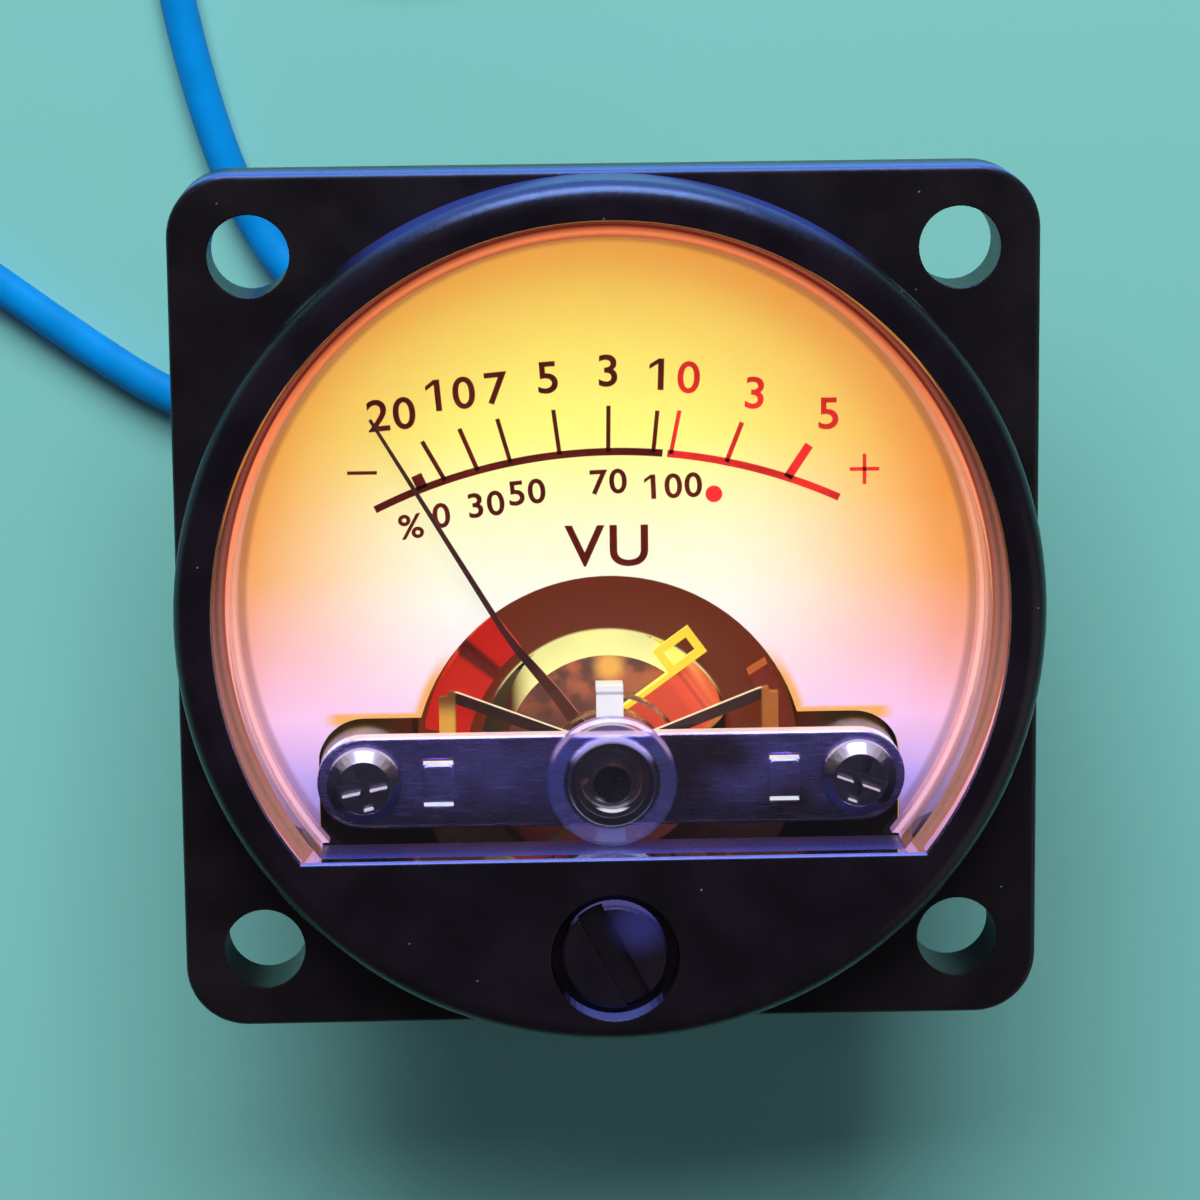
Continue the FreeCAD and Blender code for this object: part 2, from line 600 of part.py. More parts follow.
def front_bearing_holder():
    disc_top = BAR_TOP_Z + HOLDER_DISC
    rim = HOLDER_RADIUS - HOLDER_CHAMFER
    profile = [
        (JEWEL_RADIUS + SEAT_GAP, BEARING_Z),
        (HOLDER_BOSS_RADIUS, BEARING_Z),
        (HOLDER_BOSS_RADIUS, BAR_Z),
        (HOLDER_NECK_RADIUS, BAR_Z),
        (HOLDER_NECK_RADIUS, BAR_TOP_Z),
        (HOLDER_RADIUS, BAR_TOP_Z),
        (HOLDER_RADIUS, disc_top - HOLDER_CHAMFER),
        (rim, disc_top),
        (HOLDER_RING_RADIUS, disc_top),
        (HOLDER_RING_RADIUS - HOLDER_RING_DRAFT, disc_top + HOLDER_RING_RAISE),
        (JEWEL_RADIUS + SEAT_GAP, disc_top + HOLDER_RING_RAISE),
    ]
    return revolve(profile, 0, PIVOT_Y)


def jewel_screw(face, back):
    """A slotted bearing screw: its cup opens at height face, and its slot is at height back."""
    away = 1 if back > face else -1
    mouth = STAFF_RADIUS + RUNNING_GAP
    floor = face + away * (STAFF_INTO_JEWEL + RUNNING_GAP + CONE_LENGTH)
    profile = [
        (mouth, face),
        (JEWEL_RADIUS, face),
        (JEWEL_RADIUS, back),
        (0, back),
        (0, floor),
        (TIP_RADIUS + RUNNING_GAP / 2, floor),
        (mouth, face + away * (STAFF_INTO_JEWEL + RUNNING_GAP / 2)),
    ]
    body = revolve(profile, 0, PIVOT_Y)
    low, high = sorted((back, back - away * JEWEL_SLOT))
    half = JEWEL_SLOT / 2
    slot = block(-half, half, PIVOT_Y - JEWEL_RADIUS, PIVOT_Y + JEWEL_RADIUS, low, high)
    return body.cut(turned(slot, 35))


def front_strap():
    """A ring clamped under the bar, with an arm on each side that bends down on to a retainer."""
    ring_low = BAR_Z - STRAP_THICK
    hole = HOLDER_BOSS_RADIUS + SEAT_GAP
    body = ring(STRAP_RING_RADIUS, hole, ring_low, BAR_Z, 0, PIVOT_Y)
    rise_x = STRAP_ARM_END_X - STRAP_ARM_START_X
    rise_y = STRAP_ARM_END_Y - STRAP_ARM_START_Y
    length = math.hypot(rise_x, rise_y)
    angle = math.degrees(math.atan2(rise_y, rise_x))
    foot = STRAP_ARM_WIDTH
    foot_z = YOKE_TOP_Z + RETAINER_TOP + SEAT_GAP
    path = [
        (0, ring_low),
        (foot, ring_low),
        (length - foot, foot_z),
        (length, foot_z),
        (length, foot_z + STRAP_THICK),
        (length - foot, foot_z + STRAP_THICK),
        (foot, BAR_Z),
        (0, BAR_Z),
    ]
    points = [Vector(s, -STRAP_ARM_WIDTH / 2, z) for s, z in path]
    arm = Part.Face(Part.makePolygon(points + points[:1])).extrude(Vector(0, STRAP_ARM_WIDTH, 0))
    arm.rotate(Vector(0, 0, 0), UP, angle)
    arm.translate(Vector(STRAP_ARM_START_X, PIVOT_Y + STRAP_ARM_START_Y, 0))
    half_leg = STRAP_LEG_WIDTH / 2
    arm = arm.fuse(block(STRAP_ARM_END_X - half_leg, STRAP_ARM_END_X + half_leg, PIVOT_Y + BAR_HALF_WIDTH / 2,
                         PIVOT_Y + STRAP_ARM_END_Y, foot_z, foot_z + STRAP_THICK))
    body = body.fuse(arm).fuse(arm.mirror(Vector(0, 0, 0), Vector(1, 0, 0)))
    return body.cut(disc(hole, 0, FRONT_Z, 0, PIVOT_Y)).removeSplitter()


def retainers():
    """Two blocks that hold the yoke down: a low toe on the left one, and room for the coil's tab."""
    top = YOKE_TOP_Z + RETAINER_TOP
    toe_top = YOKE_TOP_Z + RETAINER_TOE_HEIGHT
    right = sector(RETAINER_OUTER_RADIUS, RETAINER_CLEAR_RADIUS, RETAINER_RIGHT_FROM, RETAINER_TO,
                   YOKE_TOP_Z, top)
    left = sector(RETAINER_OUTER_RADIUS, RETAINER_INNER_RADIUS, -RETAINER_TO, -RETAINER_FROM,
                  YOKE_TOP_Z, top)
    toe = sector(RETAINER_OUTER_RADIUS, RETAINER_INNER_RADIUS, -RETAINER_FROM - RETAINER_TOE_LAP,
                 -RETAINER_TOE_FROM, YOKE_TOP_Z, toe_top)
    return Part.makeCompound([right, left.fuse(toe).removeSplitter()])


def zero_adjust_screw():
    head_z = FRONT_Z - ZERO_RECESS_DEPTH + RUNNING_GAP
    head_top = head_z + ZERO_HEAD_HEIGHT
    edge = ZERO_SLOT_DEPTH / 4
    profile = [
        (0, ZERO_LIP_Z),
        (ZERO_LIP_RADIUS, ZERO_LIP_Z),
        (ZERO_LIP_RADIUS, ZERO_LIP_Z + ZERO_LIP_HEIGHT),
        (ZERO_SHANK_RADIUS, ZERO_LIP_Z + ZERO_LIP_HEIGHT),
        (ZERO_SHANK_RADIUS, head_z),
        (ZERO_HEAD_RADIUS, head_z),
        (ZERO_HEAD_RADIUS, head_top - edge),
        (ZERO_HEAD_RADIUS - edge, head_top),
        (0, head_top),
    ]
    body = revolve(profile, 0, ZERO_Y)
    pin = disc(ZERO_PIN_RADIUS, LEVER_Z - LOOSE_GAP, ZERO_LIP_Z, 0, ZERO_Y + ZERO_OFFSET)
    half = ZERO_SLOT_WIDTH / 2
    slot = block(-half, half, ZERO_Y - ZERO_HEAD_RADIUS, ZERO_Y + ZERO_HEAD_RADIUS,
                 head_top - ZERO_SLOT_DEPTH, head_top + PAST)
    slot.rotate(Vector(0, ZERO_Y, 0), UP, ZERO_SLOT_TURN)
    return body.fuse(pin).cut(slot).removeSplitter()


def zero_lever():
    """A ring on the bearing boss, with a spring tab above it and a fork round the screw's pin."""
    body = ring(LEVER_RING_RADIUS, LEVER_HOLE_RADIUS, LEVER_Z, LEVER_TOP_Z, 0, PIVOT_Y)
    inner = LEVER_HOLE_RADIUS + LEVER_RING_WIDTH / 2
    tab_end = TAB_INNER + TAB_BEND
    half_tab = TAB_WIDTH / 2
    body = body.fuse(block(-half_tab, half_tab, PIVOT_Y + inner, PIVOT_Y + tab_end, LEVER_Z, LEVER_TOP_Z))
    body = body.fuse(block(-half_tab, half_tab, PIVOT_Y + TAB_INNER, PIVOT_Y + tab_end,
                           LEVER_Z - TAB_DROP, LEVER_TOP_Z))
    pin_y = PIVOT_Y - PIN_REACH
    slot_half = ZERO_PIN_RADIUS + LOOSE_GAP
    fork_half = slot_half + FORK_PRONG
    fork_top = pin_y + slot_half + FORK_PRONG
    fork_end = pin_y - FORK_OVERLAP
    half_arm = LEVER_ARM_WIDTH / 2
    arm_low = fork_top - FORK_PRONG / 2
    body = body.fuse(block(-half_arm, half_arm, arm_low, PIVOT_Y - inner, LEVER_Z, LEVER_TOP_Z))
    body = body.fuse(block(-fork_half, fork_half, fork_end, fork_top, LEVER_Z, LEVER_TOP_Z))
    slot_end = pin_y + slot_half
    slot = block(-slot_half, slot_half, fork_end - PAST, slot_end, LEVER_Z - PAST, LEVER_TOP_Z + PAST)
    body = body.cut(slot)
    return body.removeSplitter()


def core_magnet():
    body = disc(CORE_RADIUS, CORE_Z, CORE_TOP_Z, 0, PIVOT_Y)
    hole_end = CORE_Z + SPIGOT_LENGTH + LOOSE_GAP
    return body.cut(disc(SPIGOT_RADIUS + SEAT_GAP, CORE_Z - PAST, hole_end, 0, PIVOT_Y))


def yoke_ring():
    body = ring(YOKE_RADIUS, YOKE_BORE_RADIUS, CORE_Z, YOKE_TOP_Z, 0, PIVOT_Y)
    return body.common(disc(CASE_BORE_RADIUS - YOKE_CASE_GAP, 0, FRONT_Z))


def core_bridge():
    half = BRIDGE_REAR_WIDTH / 2
    reach = BRIDGE_REAR_REACH
    strip = block(-half, half, PIVOT_Y - reach, PIVOT_Y + reach, BRIDGE_REAR_Z, CORE_Z)
    root = CORE_Z - BRIDGE_REAR_THICK / 2
    strip = strip.fuse(disc(SPIGOT_RADIUS, root, CORE_Z + SPIGOT_LENGTH, 0, PIVOT_Y))
    return turned(strip.removeSplitter(), BRIDGE_REAR_TURN)


def movement_frame():
    """Base plate, two posts up to the bar, and a ledge on each post for the yoke."""
    reach = BRIDGE_SCREW_X
    half = POST_RADIUS
    body = block(-reach, reach, PIVOT_Y - half, PIVOT_Y + half, BASE_Z, BASE_TOP_Z)
    body = body.fuse(disc(BASE_CENTRE_RADIUS, BASE_Z, BASE_TOP_Z, 0, PIVOT_Y))
    for side in (-1, 1):
        x = side * reach
        body = body.fuse(disc(POST_RADIUS, BASE_Z, BAR_Z, x, PIVOT_Y))
        middle = side * RIGHT_ANGLE
        body = body.fuse(sector(reach - half / 2, LEDGE_INNER_RADIUS, middle - LEDGE_HALF_ANGLE,
                                middle + LEDGE_HALF_ANGLE, CORE_Z - LEDGE_THICK, CORE_Z))
    for x in (-reach, reach):
        body = body.cut(disc(PILOT_RADIUS, BAR_Z - POST_PILOT_DEPTH, BAR_Z + PAST, x, PIVOT_Y))
        rear_end = BACK_Z + CHASSIS_RECESS + POST_PILOT_DEPTH
        body = body.cut(disc(PILOT_RADIUS, BASE_Z - PAST, rear_end, x, PIVOT_Y))
    body = body.cut(disc(JEWEL_RADIUS + SEAT_GAP, 0, BASE_TOP_Z + PAST, 0, PIVOT_Y))
    return body.removeSplitter()


def rear_spring_anchor():
    low = PIVOT_Y + TAB_INNER
    half = ANCHOR_WIDTH / 2
    return block(-half, half, low, low + ANCHOR_THICK, BASE_TOP_Z, REAR_SPRING_Z + SPRING_HEIGHT)


def coil_frame(grow, half_width, shift=0.0):
    """A block with rounded corners, larger by grow than the opening of the moving coil."""
    half = COIL_INNER_RADIUS + grow
    low = COIL_INNER_Z - grow
    high = CORE_TOP_Z + CORE_END_GAP + grow
    box = block(-half, half, PIVOT_Y + shift - half_width, PIVOT_Y + shift + half_width, low, high)
    along = [e for e in box.Edges if abs(e.tangentAt(e.FirstParameter).y) > 0.99]
    return box.makeFillet(COIL_CORNER + grow, along)


def coil_tab():
    """The former's flat tab, with a window, where the ends of the winding are brought out."""
    low = PIVOT_Y + COIL_WIDTH / 2 - FORMER_FLANGE
    high = PIVOT_Y + COIL_TAB_SIDE
    start = COIL_TAB_REACH - COIL_TAB_LENGTH
    wall = COIL_TAB_WALL
    top = COIL_TOP_Z
    plate = block(start, COIL_TAB_REACH, low, high, top - FORMER_THICK, top)
    return plate.cut(block(start + wall, COIL_TAB_REACH - wall, low + wall, high - wall, 0, FRONT_Z))


def coil_former():
    sleeve = coil_frame(FORMER_THICK, COIL_WIDTH / 2).cut(coil_frame(0, COIL_WIDTH))
    for side in (-1, 1):
        shift = side * (COIL_WIDTH - FORMER_FLANGE) / 2
        flange = coil_frame(COIL_THICK, FORMER_FLANGE / 2, shift).cut(coil_frame(0, COIL_WIDTH))
        sleeve = sleeve.fuse(flange)
    return turned(sleeve.fuse(coil_tab()).removeSplitter(), POINTER_TURN)


def coil_winding():
    half = WINDING_WIDTH / 2
    body = coil_frame(COIL_THICK, half).cut(coil_frame(FORMER_THICK, COIL_WIDTH))
    return turned(body, POINTER_TURN)


def front_pivot():
    profile = [
        (0, COIL_TOP_Z),
        (HUB_RADIUS, COIL_TOP_Z),
        (HUB_RADIUS, POINTER_Z),
        (NECK_RADIUS, POINTER_Z),
        (NECK_RADIUS, COLLET_Z),
        (COLLET_RADIUS, COLLET_Z),
        (COLLET_RADIUS, COLLET_TOP_Z),
        (STAFF_RADIUS, COLLET_TOP_Z),
        (STAFF_RADIUS, BEARING_Z + STAFF_INTO_JEWEL),
        (TIP_RADIUS, BEARING_Z + STAFF_INTO_JEWEL + CONE_LENGTH),
        (0, BEARING_Z + STAFF_INTO_JEWEL + CONE_LENGTH),
    ]
    return revolve(profile, 0, PIVOT_Y)


def rear_pivot():
    profile = [
        (0, COIL_Z),
        (HUB_RADIUS, COIL_Z),
        (HUB_RADIUS, REAR_COLLET_TOP_Z),
        (COLLET_RADIUS, REAR_COLLET_TOP_Z),
        (COLLET_RADIUS, REAR_COLLET_Z),
        (STAFF_RADIUS, REAR_COLLET_Z),
        (STAFF_RADIUS, BASE_TOP_Z - STAFF_INTO_JEWEL),
        (TIP_RADIUS, BASE_TOP_Z - STAFF_INTO_JEWEL - CONE_LENGTH),
        (0, BASE_TOP_Z - STAFF_INTO_JEWEL - CONE_LENGTH),
    ]
    return revolve(profile, 0, PIVOT_Y)


def pointer():
    """Root arm that rises over the dial, fine needle past a bend, tail and cross arms."""
    needle_z = DIAL_Z + NEEDLE_LIFT
    side_view = [
        (NECK_RADIUS, POINTER_Z),
        (POINTER_RAMP_START, POINTER_Z),
        (POINTER_RAMP_END, needle_z),
        (POINTER_BEND, needle_z),
        (POINTER_BEND, needle_z + NEEDLE_THICK),
        (POINTER_RAMP_END, needle_z + NEEDLE_THICK),
        (POINTER_RAMP_START, POINTER_Z + POINTER_THICK),
        (NECK_RADIUS, POINTER_Z + POINTER_THICK),
    ]
    half_root = POINTER_ROOT_WIDTH / 2
    points = [Vector(-half_root, PIVOT_Y + y, z) for y, z in side_view]
    arm = Part.Face(Part.makePolygon(points + points[:1])).extrude(Vector(POINTER_ROOT_WIDTH, 0, 0))
    half_end = NEEDLE_WIDTH / 2
    plan = [(-half_root, 0), (half_root, 0), (half_end, POINTER_BEND), (-half_end, POINTER_BEND)]
    corners = [Vector(x, PIVOT_Y + y, 0) for x, y in plan]
    arm = arm.common(Part.Face(Part.makePolygon(corners + corners[:1])).extrude(Vector(0, 0, FRONT_Z)))
    tip = NEEDLE_TIP_WIDTH / 2
    outline = [(-half_end, -half_end), (half_end, -half_end), (tip, NEEDLE_LENGTH), (-tip, NEEDLE_LENGTH)]
    corners = [Vector(x, y, needle_z) for x, y in outline]
    needle = Part.Face(Part.makePolygon(corners + corners[:1])).extrude(Vector(0, 0, NEEDLE_THICK))
    needle.rotate(Vector(0, 0, 0), UP, -POINTER_BEND_TURN)
    needle.translate(Vector(0, PIVOT_Y + POINTER_BEND, 0))
    body = arm.fuse(needle)
    top = POINTER_Z + POINTER_THICK
    half = POINTER_ROOT_WIDTH / 4
    body = body.fuse(block(-half, half, PIVOT_Y - POINTER_TAIL, PIVOT_Y - NECK_RADIUS, POINTER_Z, top))
    body = body.fuse(block(-CROSS_ARM, CROSS_ARM, PIVOT_Y - half, PIVOT_Y + half, POINTER_Z, top))
    body = body.fuse(disc(POINTER_RING_RADIUS, POINTER_Z, top, 0, PIVOT_Y))
    body = body.cut(disc(NECK_RADIUS + SEAT_GAP, POINTER_Z - PAST, top + PAST, 0, PIVOT_Y))
    return turned(body.removeSplitter(), POINTER_TURN)


def balance_weights(carrier):
    """A small sleeve on the tail and one on each cross arm."""
    middle = POINTER_Z + POINTER_THICK / 2
    sleeves = []
    for reach, turn in ((POINTER_TAIL, 180), (CROSS_ARM, 90), (CROSS_ARM, -90)):
        start = Vector(0, PIVOT_Y + reach - WEIGHT_LENGTH - LOOSE_GAP, middle)
        sleeve = Part.makeCylinder(WEIGHT_RADIUS, WEIGHT_LENGTH, start, Vector(0, 1, 0))
        sleeves.append(turned(sleeve, turn + POINTER_TURN).cut(carrier))
    return Part.makeCompound(sleeves)


def lamp_holder():
    body = disc(LAMP_HOLDER_RADIUS, BACK_Z, INNER_BACK_Z + LAMP_HOLDER_INSIDE, 0, LAMP_Y)
    body = body.fuse(disc(LAMP_LIP_RADIUS, BACK_Z - LAMP_LIP_THICK, BACK_Z, 0, LAMP_Y))
    return body.cut(disc(BULB_RADIUS + SEAT_GAP, BULB_Z - SEAT_GAP, FRONT_Z, 0, LAMP_Y)).removeSplitter()


def bulb_form(radius, low, length):
    """A round-ended bulb, standing at height low."""
    straight = length - radius
    body = disc(radius, low, low + straight, 0, LAMP_Y)
    return body.fuse(Part.makeSphere(radius, Vector(0, LAMP_Y, low + straight))).common(
        disc(radius + PAST, low, low + length + PAST, 0, LAMP_Y))


def lamp_bulb():
    inside = bulb_form(BULB_RADIUS - BULB_WALL, BULB_Z + BULB_WALL, BULB_LENGTH - 2 * BULB_WALL)
    return bulb_form(BULB_RADIUS, BULB_Z, BULB_LENGTH).removeSplitter().cut(inside.removeSplitter())


def lamp_filament():
    """Two support wires with the filament as an arch between them."""
    low = BULB_Z + BULB_WALL
    high = low + FILAMENT_HEIGHT
    radius = FILAMENT_POST_RADIUS
    body = disc(radius, low, high, FILAMENT_POST_X, LAMP_Y)
    body = body.fuse(disc(radius, low, high, -FILAMENT_POST_X, LAMP_Y))
    arch = Part.makeTorus(FILAMENT_POST_X, radius, Vector(0, LAMP_Y, high), Vector(0, 1, 0))
    room = FILAMENT_POST_X + 2 * radius
    arch = arch.common(block(-room, room, LAMP_Y - room, LAMP_Y + room, high, high + room))
    return body.fuse(arch).removeSplitter()


def tag_places():
    """Where each solder tag stands, and whether its broad side faces along Y."""
    signal = [(-SIGNAL_TAG_X, SIGNAL_TAG_Y, True), (SIGNAL_TAG_X, SIGNAL_TAG_Y, True)]
    lamp = [(-LAMP_TAG_X, LAMP_TAG_Y, False), (LAMP_TAG_X, LAMP_TAG_Y, False)]
    return signal, lamp


def tag_slots():
    slots = []
    for x, y, broad in tag_places()[0] + tag_places()[1]:
        half_w = TAG_WIDTH / 2 + SEAT_GAP
        half_t = TAG_THICK / 2 + SEAT_GAP
        half_x, half_y = (half_w, half_t) if broad else (half_t, half_w)
        low, high = BACK_Z - PAST, INNER_BACK_Z + PAST
        slots.append(block(x - half_x, x + half_x, y - half_y, y + half_y, low, high))
    return slots


def solder_tags(places):
    tags = []
    for x, y, broad in places:
        half_w = TAG_WIDTH / 2
        half_t = TAG_THICK / 2
        top = INNER_BACK_Z + TAG_HEAD + TAG_INSIDE
        tag = block(-half_w, half_w, -half_t, half_t, 0, top)
        across = [e for e in tag.Edges if abs(e.tangentAt(e.FirstParameter).y) > 0.99]
        tag = tag.makeFillet(TAG_WIDTH / 4, [e for e in across if e.BoundBox.ZMax < TAG_EYE_HEIGHT])
        head_w, head_t = TAG_HEAD_HALF_WIDTH, TAG_HEAD_HALF_THICK
        tag = tag.fuse(block(-head_w, head_w, -head_t, head_t, INNER_BACK_Z, INNER_BACK_Z + TAG_HEAD))
        eye_start = Vector(0, -TAG_WIDTH, TAG_EYE_HEIGHT)
        tag = tag.cut(Part.makeCylinder(TAG_EYE_RADIUS, TAG_WIDTH * 2, eye_start, Vector(0, 1, 0)))
        tag = tag.removeSplitter()
        if not broad:
            tag.rotate(Vector(0, 0, 0), UP, 90)
        tag.translate(Vector(x, y, 0))
        tags.append(tag)
    return Part.makeCompound(tags)


def lamp_solder():
    """A cone of solder on the left face of each lamp tag, from which the lead starts."""
    cones = []
    for (x, y, _), route in zip(tag_places()[1], (LEAD_A_ROUTE, LEAD_B_ROUTE)):
        start = Vector(x - TAG_THICK / 2, y, route[0][2])
        away = Vector(-1, 0, 0)
        cones.append(Part.makeCone(SOLDER_ROOT_RADIUS, SOLDER_TIP_RADIUS, SOLDER_LENGTH, start, away))
    return Part.makeCompound(cones)


def lead_path(route):
    """Straight runs joined by tangent arcs, as large as the shorter run allows."""
    points = [Vector(*p) for p in route]
    edges, radii = [], []
    here = points[0]
    for before, corner, after in zip(points, points[1:], points[2:]):
        back, ahead = corner - before, after - corner
        half_turn = back.getAngle(ahead) / 2
        shorter = min(back.Length, ahead.Length)
        cut = LEAD_CORNER_SHARE * shorter
        start = corner - back.normalize() * cut
        end = corner + ahead.normalize() * cut
        radius = cut / math.tan(half_turn)
        inward = (start + end) * 0.5 - corner
        middle = corner + inward.normalize() * (radius / math.cos(half_turn) - radius)
        edges.append(Part.LineSegment(here, start).toShape())
        edges.append(Part.Arc(start, middle, end).toShape())
        radii.append(radius)
        here = end
    edges.append(Part.LineSegment(here, points[-1]).toShape())
    return Part.Wire(edges), radii


def tube(path, radius, start, direction):
    profile = Part.Wire(Part.makeCircle(radius, start, direction))
    return path.makePipeShell([profile], True, False)


def report_tube(name, solid, path, radius):
    share = solid.Volume / (math.pi * radius ** 2 * path.Length)
    print(name, "length", round(path.Length, 2), "volume over section times length", round(share, 4))


def lead_stretch(name, route):
    path, radii = lead_path(route)
    start = Vector(*route[0])
    solid = tube(path, LEAD_RADIUS, start, Vector(*route[1]) - start)
    report_tube(name, solid, path, LEAD_RADIUS)
    print(name, "radii in diameters", [round(r / (2 * LEAD_RADIUS), 1) for r in radii])
    return solid


def lead_coil_arcs(route, side):
    """The centre, radius, start angle and sweep of each half turn.

    The side is 1 where the lead winds to the left, and -1 to the right.
    """
    end, before = Vector(*route[-1]), Vector(*route[-2])
    heading = math.atan2(end.y - before.y, end.x - before.x)
    arcs = []
    radius = LEAD_COIL_RADIUS
    for _ in range(LEAD_COIL_HALF_TURNS):
        left = heading + side * math.pi / 2
        centre = end + Vector(math.cos(left), math.sin(left), 0) * radius
        arcs.append((centre, radius, left + math.pi, side * math.pi))
        end = centre + (centre - end)
        heading += math.pi
        radius -= LEAD_COIL_STEP
    return arcs, end, heading


def arc_point(arc, share):
    centre, radius, start, sweep = arc
    angle = start + sweep * share
    return centre + Vector(math.cos(angle), math.sin(angle), 0) * radius


def least_distance(arcs):
    """The least distance between points of a winding's centre line that are over half a turn apart."""
    steps = 60
    line = [arc_point(a, k / steps) for a in arcs for k in range(steps)]
    return min(p.distanceToPoint(q) for i, p in enumerate(line) for q in line[i + steps:])


def lead_coil(name, route, side):
    arcs, _, _ = lead_coil_arcs(route, side)
    edges = [Part.Arc(arc_point(a, 0), arc_point(a, 0.5), arc_point(a, 1)).toShape() for a in arcs]
    path = Part.Wire(edges)
    end, before = Vector(*route[-1]), Vector(*route[-2])
    solid = tube(path, LEAD_RADIUS, end, end - before)
    report_tube(name, solid, path, LEAD_RADIUS)
    print(name, "least gap to itself", round(least_distance(arcs) - 2 * LEAD_RADIUS, 2))
    return solid


def lead_end(route, side):
    _, end, heading = lead_coil_arcs(route, side)
    ahead = Vector(math.cos(heading), math.sin(heading), 0)
    return Part.makeCylinder(LEAD_END_RADIUS, LEAD_END_LENGTH, end, ahead)


def coil_tie(route, side):
    """A flat band round the two turns that lie side by side."""
    arcs, _, _ = lead_coil_arcs(route, side)
    far, near = arc_point(arcs[0], 0.5), arc_point(arcs[-1], 0.5)
    half_long = far.distanceToPoint(near) / 2 + LEAD_RADIUS + LOOSE_GAP
    top = route[-1][2] + LEAD_RADIUS + LOOSE_GAP
    shapes = []
    for wall, half_wide in ((TIE_THICK, TIE_WIDTH / 2), (0, TIE_WIDTH)):
        low = TIE_THICK - wall
        band = block(-half_long - wall, half_long + wall, -half_wide, half_wide, low, top + wall)
        along = [e for e in band.Edges if abs(e.tangentAt(e.FirstParameter).y) > 0.99]
        shapes.append(band.makeFillet(TIE_CORNER + wall, along))
    tie = shapes[0].cut(shapes[1])
    outward = far - near
    tie.rotate(Vector(0, 0, 0), UP, math.degrees(math.atan2(outward.y, outward.x)))
    middle = (far + near) * 0.5
    tie.translate(Vector(middle.x, middle.y, 0))
    return tie


spring_arcs = spring_half_turns(SPRING_INNER_RADIUS, SPRING_HALF_TURNS, SPRING_STEP)
print("hairspring least gap to itself", round(least_distance(spring_arcs) - SPRING_STRIP, 2))

save("rear_case", rear_case())
save("front_bezel", front_bezel())
save("window_lens", window_lens())
save("light_ring", light_ring())
save("dial_plate", dial_sheet(FILTER_Z, DIAL_Z))
save("dial_filter", dial_sheet(LEDGE_Z, FILTER_Z))
save("front_bridge", front_bridge())
save("bridge_screws", bridge_screws())
save("front_bearing_holder", front_bearing_holder())
save("front_jewel_screw", jewel_screw(BEARING_Z, BAR_TOP_Z + HOLDER_DISC + HOLDER_RING_RAISE / 2))
save("front_strap", front_strap())
save("yoke_retainers", retainers())
save("zero_adjust_screw", zero_adjust_screw())
save("zero_lever", zero_lever())
save("front_hairspring", spiral(SPRING_INNER_RADIUS, SPRING_HALF_TURNS, SPRING_STEP, SPRING_STRIP,
                                SPRING_Z, SPRING_Z + SPRING_HEIGHT))
save("rear_hairspring", spiral(SPRING_INNER_RADIUS, SPRING_HALF_TURNS, SPRING_STEP, SPRING_STRIP,
                               REAR_SPRING_Z, REAR_SPRING_Z + SPRING_HEIGHT))
save("core_magnet", core_magnet())
save("yoke_ring", yoke_ring())
save("core_bridge", core_bridge())
save("movement_frame", movement_frame())
save("rear_jewel_screw", jewel_screw(BASE_TOP_Z, BASE_Z - REAR_JEWEL_OUT))
save("rear_spring_anchor", rear_spring_anchor())
save("chassis_screws", chassis_screws())
save("coil_former", coil_former())
save("coil_winding", coil_winding())
save("front_pivot", front_pivot())
save("rear_pivot", rear_pivot())
pointer_shape = pointer()
save("pointer", pointer_shape)
save("balance_weights", balance_weights(pointer_shape))
save("lamp_holder", lamp_holder())
save("lamp_bulb", lamp_bulb())
save("lamp_filament", lamp_filament())
save("signal_tags", solder_tags(tag_places()[0]))
save("lamp_tags", solder_tags(tag_places()[1]))
save("lamp_solder", lamp_solder())
for letter, lead_route, lead_side in (("a", LEAD_A_ROUTE, -1), ("b", LEAD_B_ROUTE, 1)):
    save("lamp_lead_" + letter, lead_stretch("lamp_lead_" + letter, lead_route))
    save("lamp_lead_" + letter + "_coil", lead_coil("lamp_lead_" + letter + "_coil", lead_route, lead_side))
    save("lamp_lead_" + letter + "_end", lead_end(lead_route, lead_side))
save("coil_ties", Part.makeCompound([coil_tie(LEAD_A_ROUTE, -1), coil_tie(LEAD_B_ROUTE, 1)]))
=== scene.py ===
import math

import bmesh
import bpy
from mathutils import Euler, Matrix, Vector


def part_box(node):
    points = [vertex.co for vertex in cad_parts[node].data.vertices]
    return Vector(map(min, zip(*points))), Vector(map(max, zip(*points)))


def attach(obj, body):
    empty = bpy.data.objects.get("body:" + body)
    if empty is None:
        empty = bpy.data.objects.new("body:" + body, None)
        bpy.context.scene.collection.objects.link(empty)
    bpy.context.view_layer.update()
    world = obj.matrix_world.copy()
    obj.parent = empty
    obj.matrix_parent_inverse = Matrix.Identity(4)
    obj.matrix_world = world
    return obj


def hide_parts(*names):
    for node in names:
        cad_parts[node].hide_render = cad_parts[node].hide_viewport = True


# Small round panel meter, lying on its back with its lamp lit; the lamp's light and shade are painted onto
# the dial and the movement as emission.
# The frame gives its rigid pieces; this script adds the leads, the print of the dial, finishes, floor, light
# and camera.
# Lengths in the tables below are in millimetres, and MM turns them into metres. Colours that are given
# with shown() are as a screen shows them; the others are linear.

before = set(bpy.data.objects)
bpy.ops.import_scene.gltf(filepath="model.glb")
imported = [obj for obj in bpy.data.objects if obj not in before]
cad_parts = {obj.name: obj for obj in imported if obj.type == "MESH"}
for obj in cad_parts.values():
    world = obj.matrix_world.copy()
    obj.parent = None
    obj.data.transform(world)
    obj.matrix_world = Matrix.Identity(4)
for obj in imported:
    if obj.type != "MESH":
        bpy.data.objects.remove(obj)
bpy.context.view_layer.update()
MM = 0.001
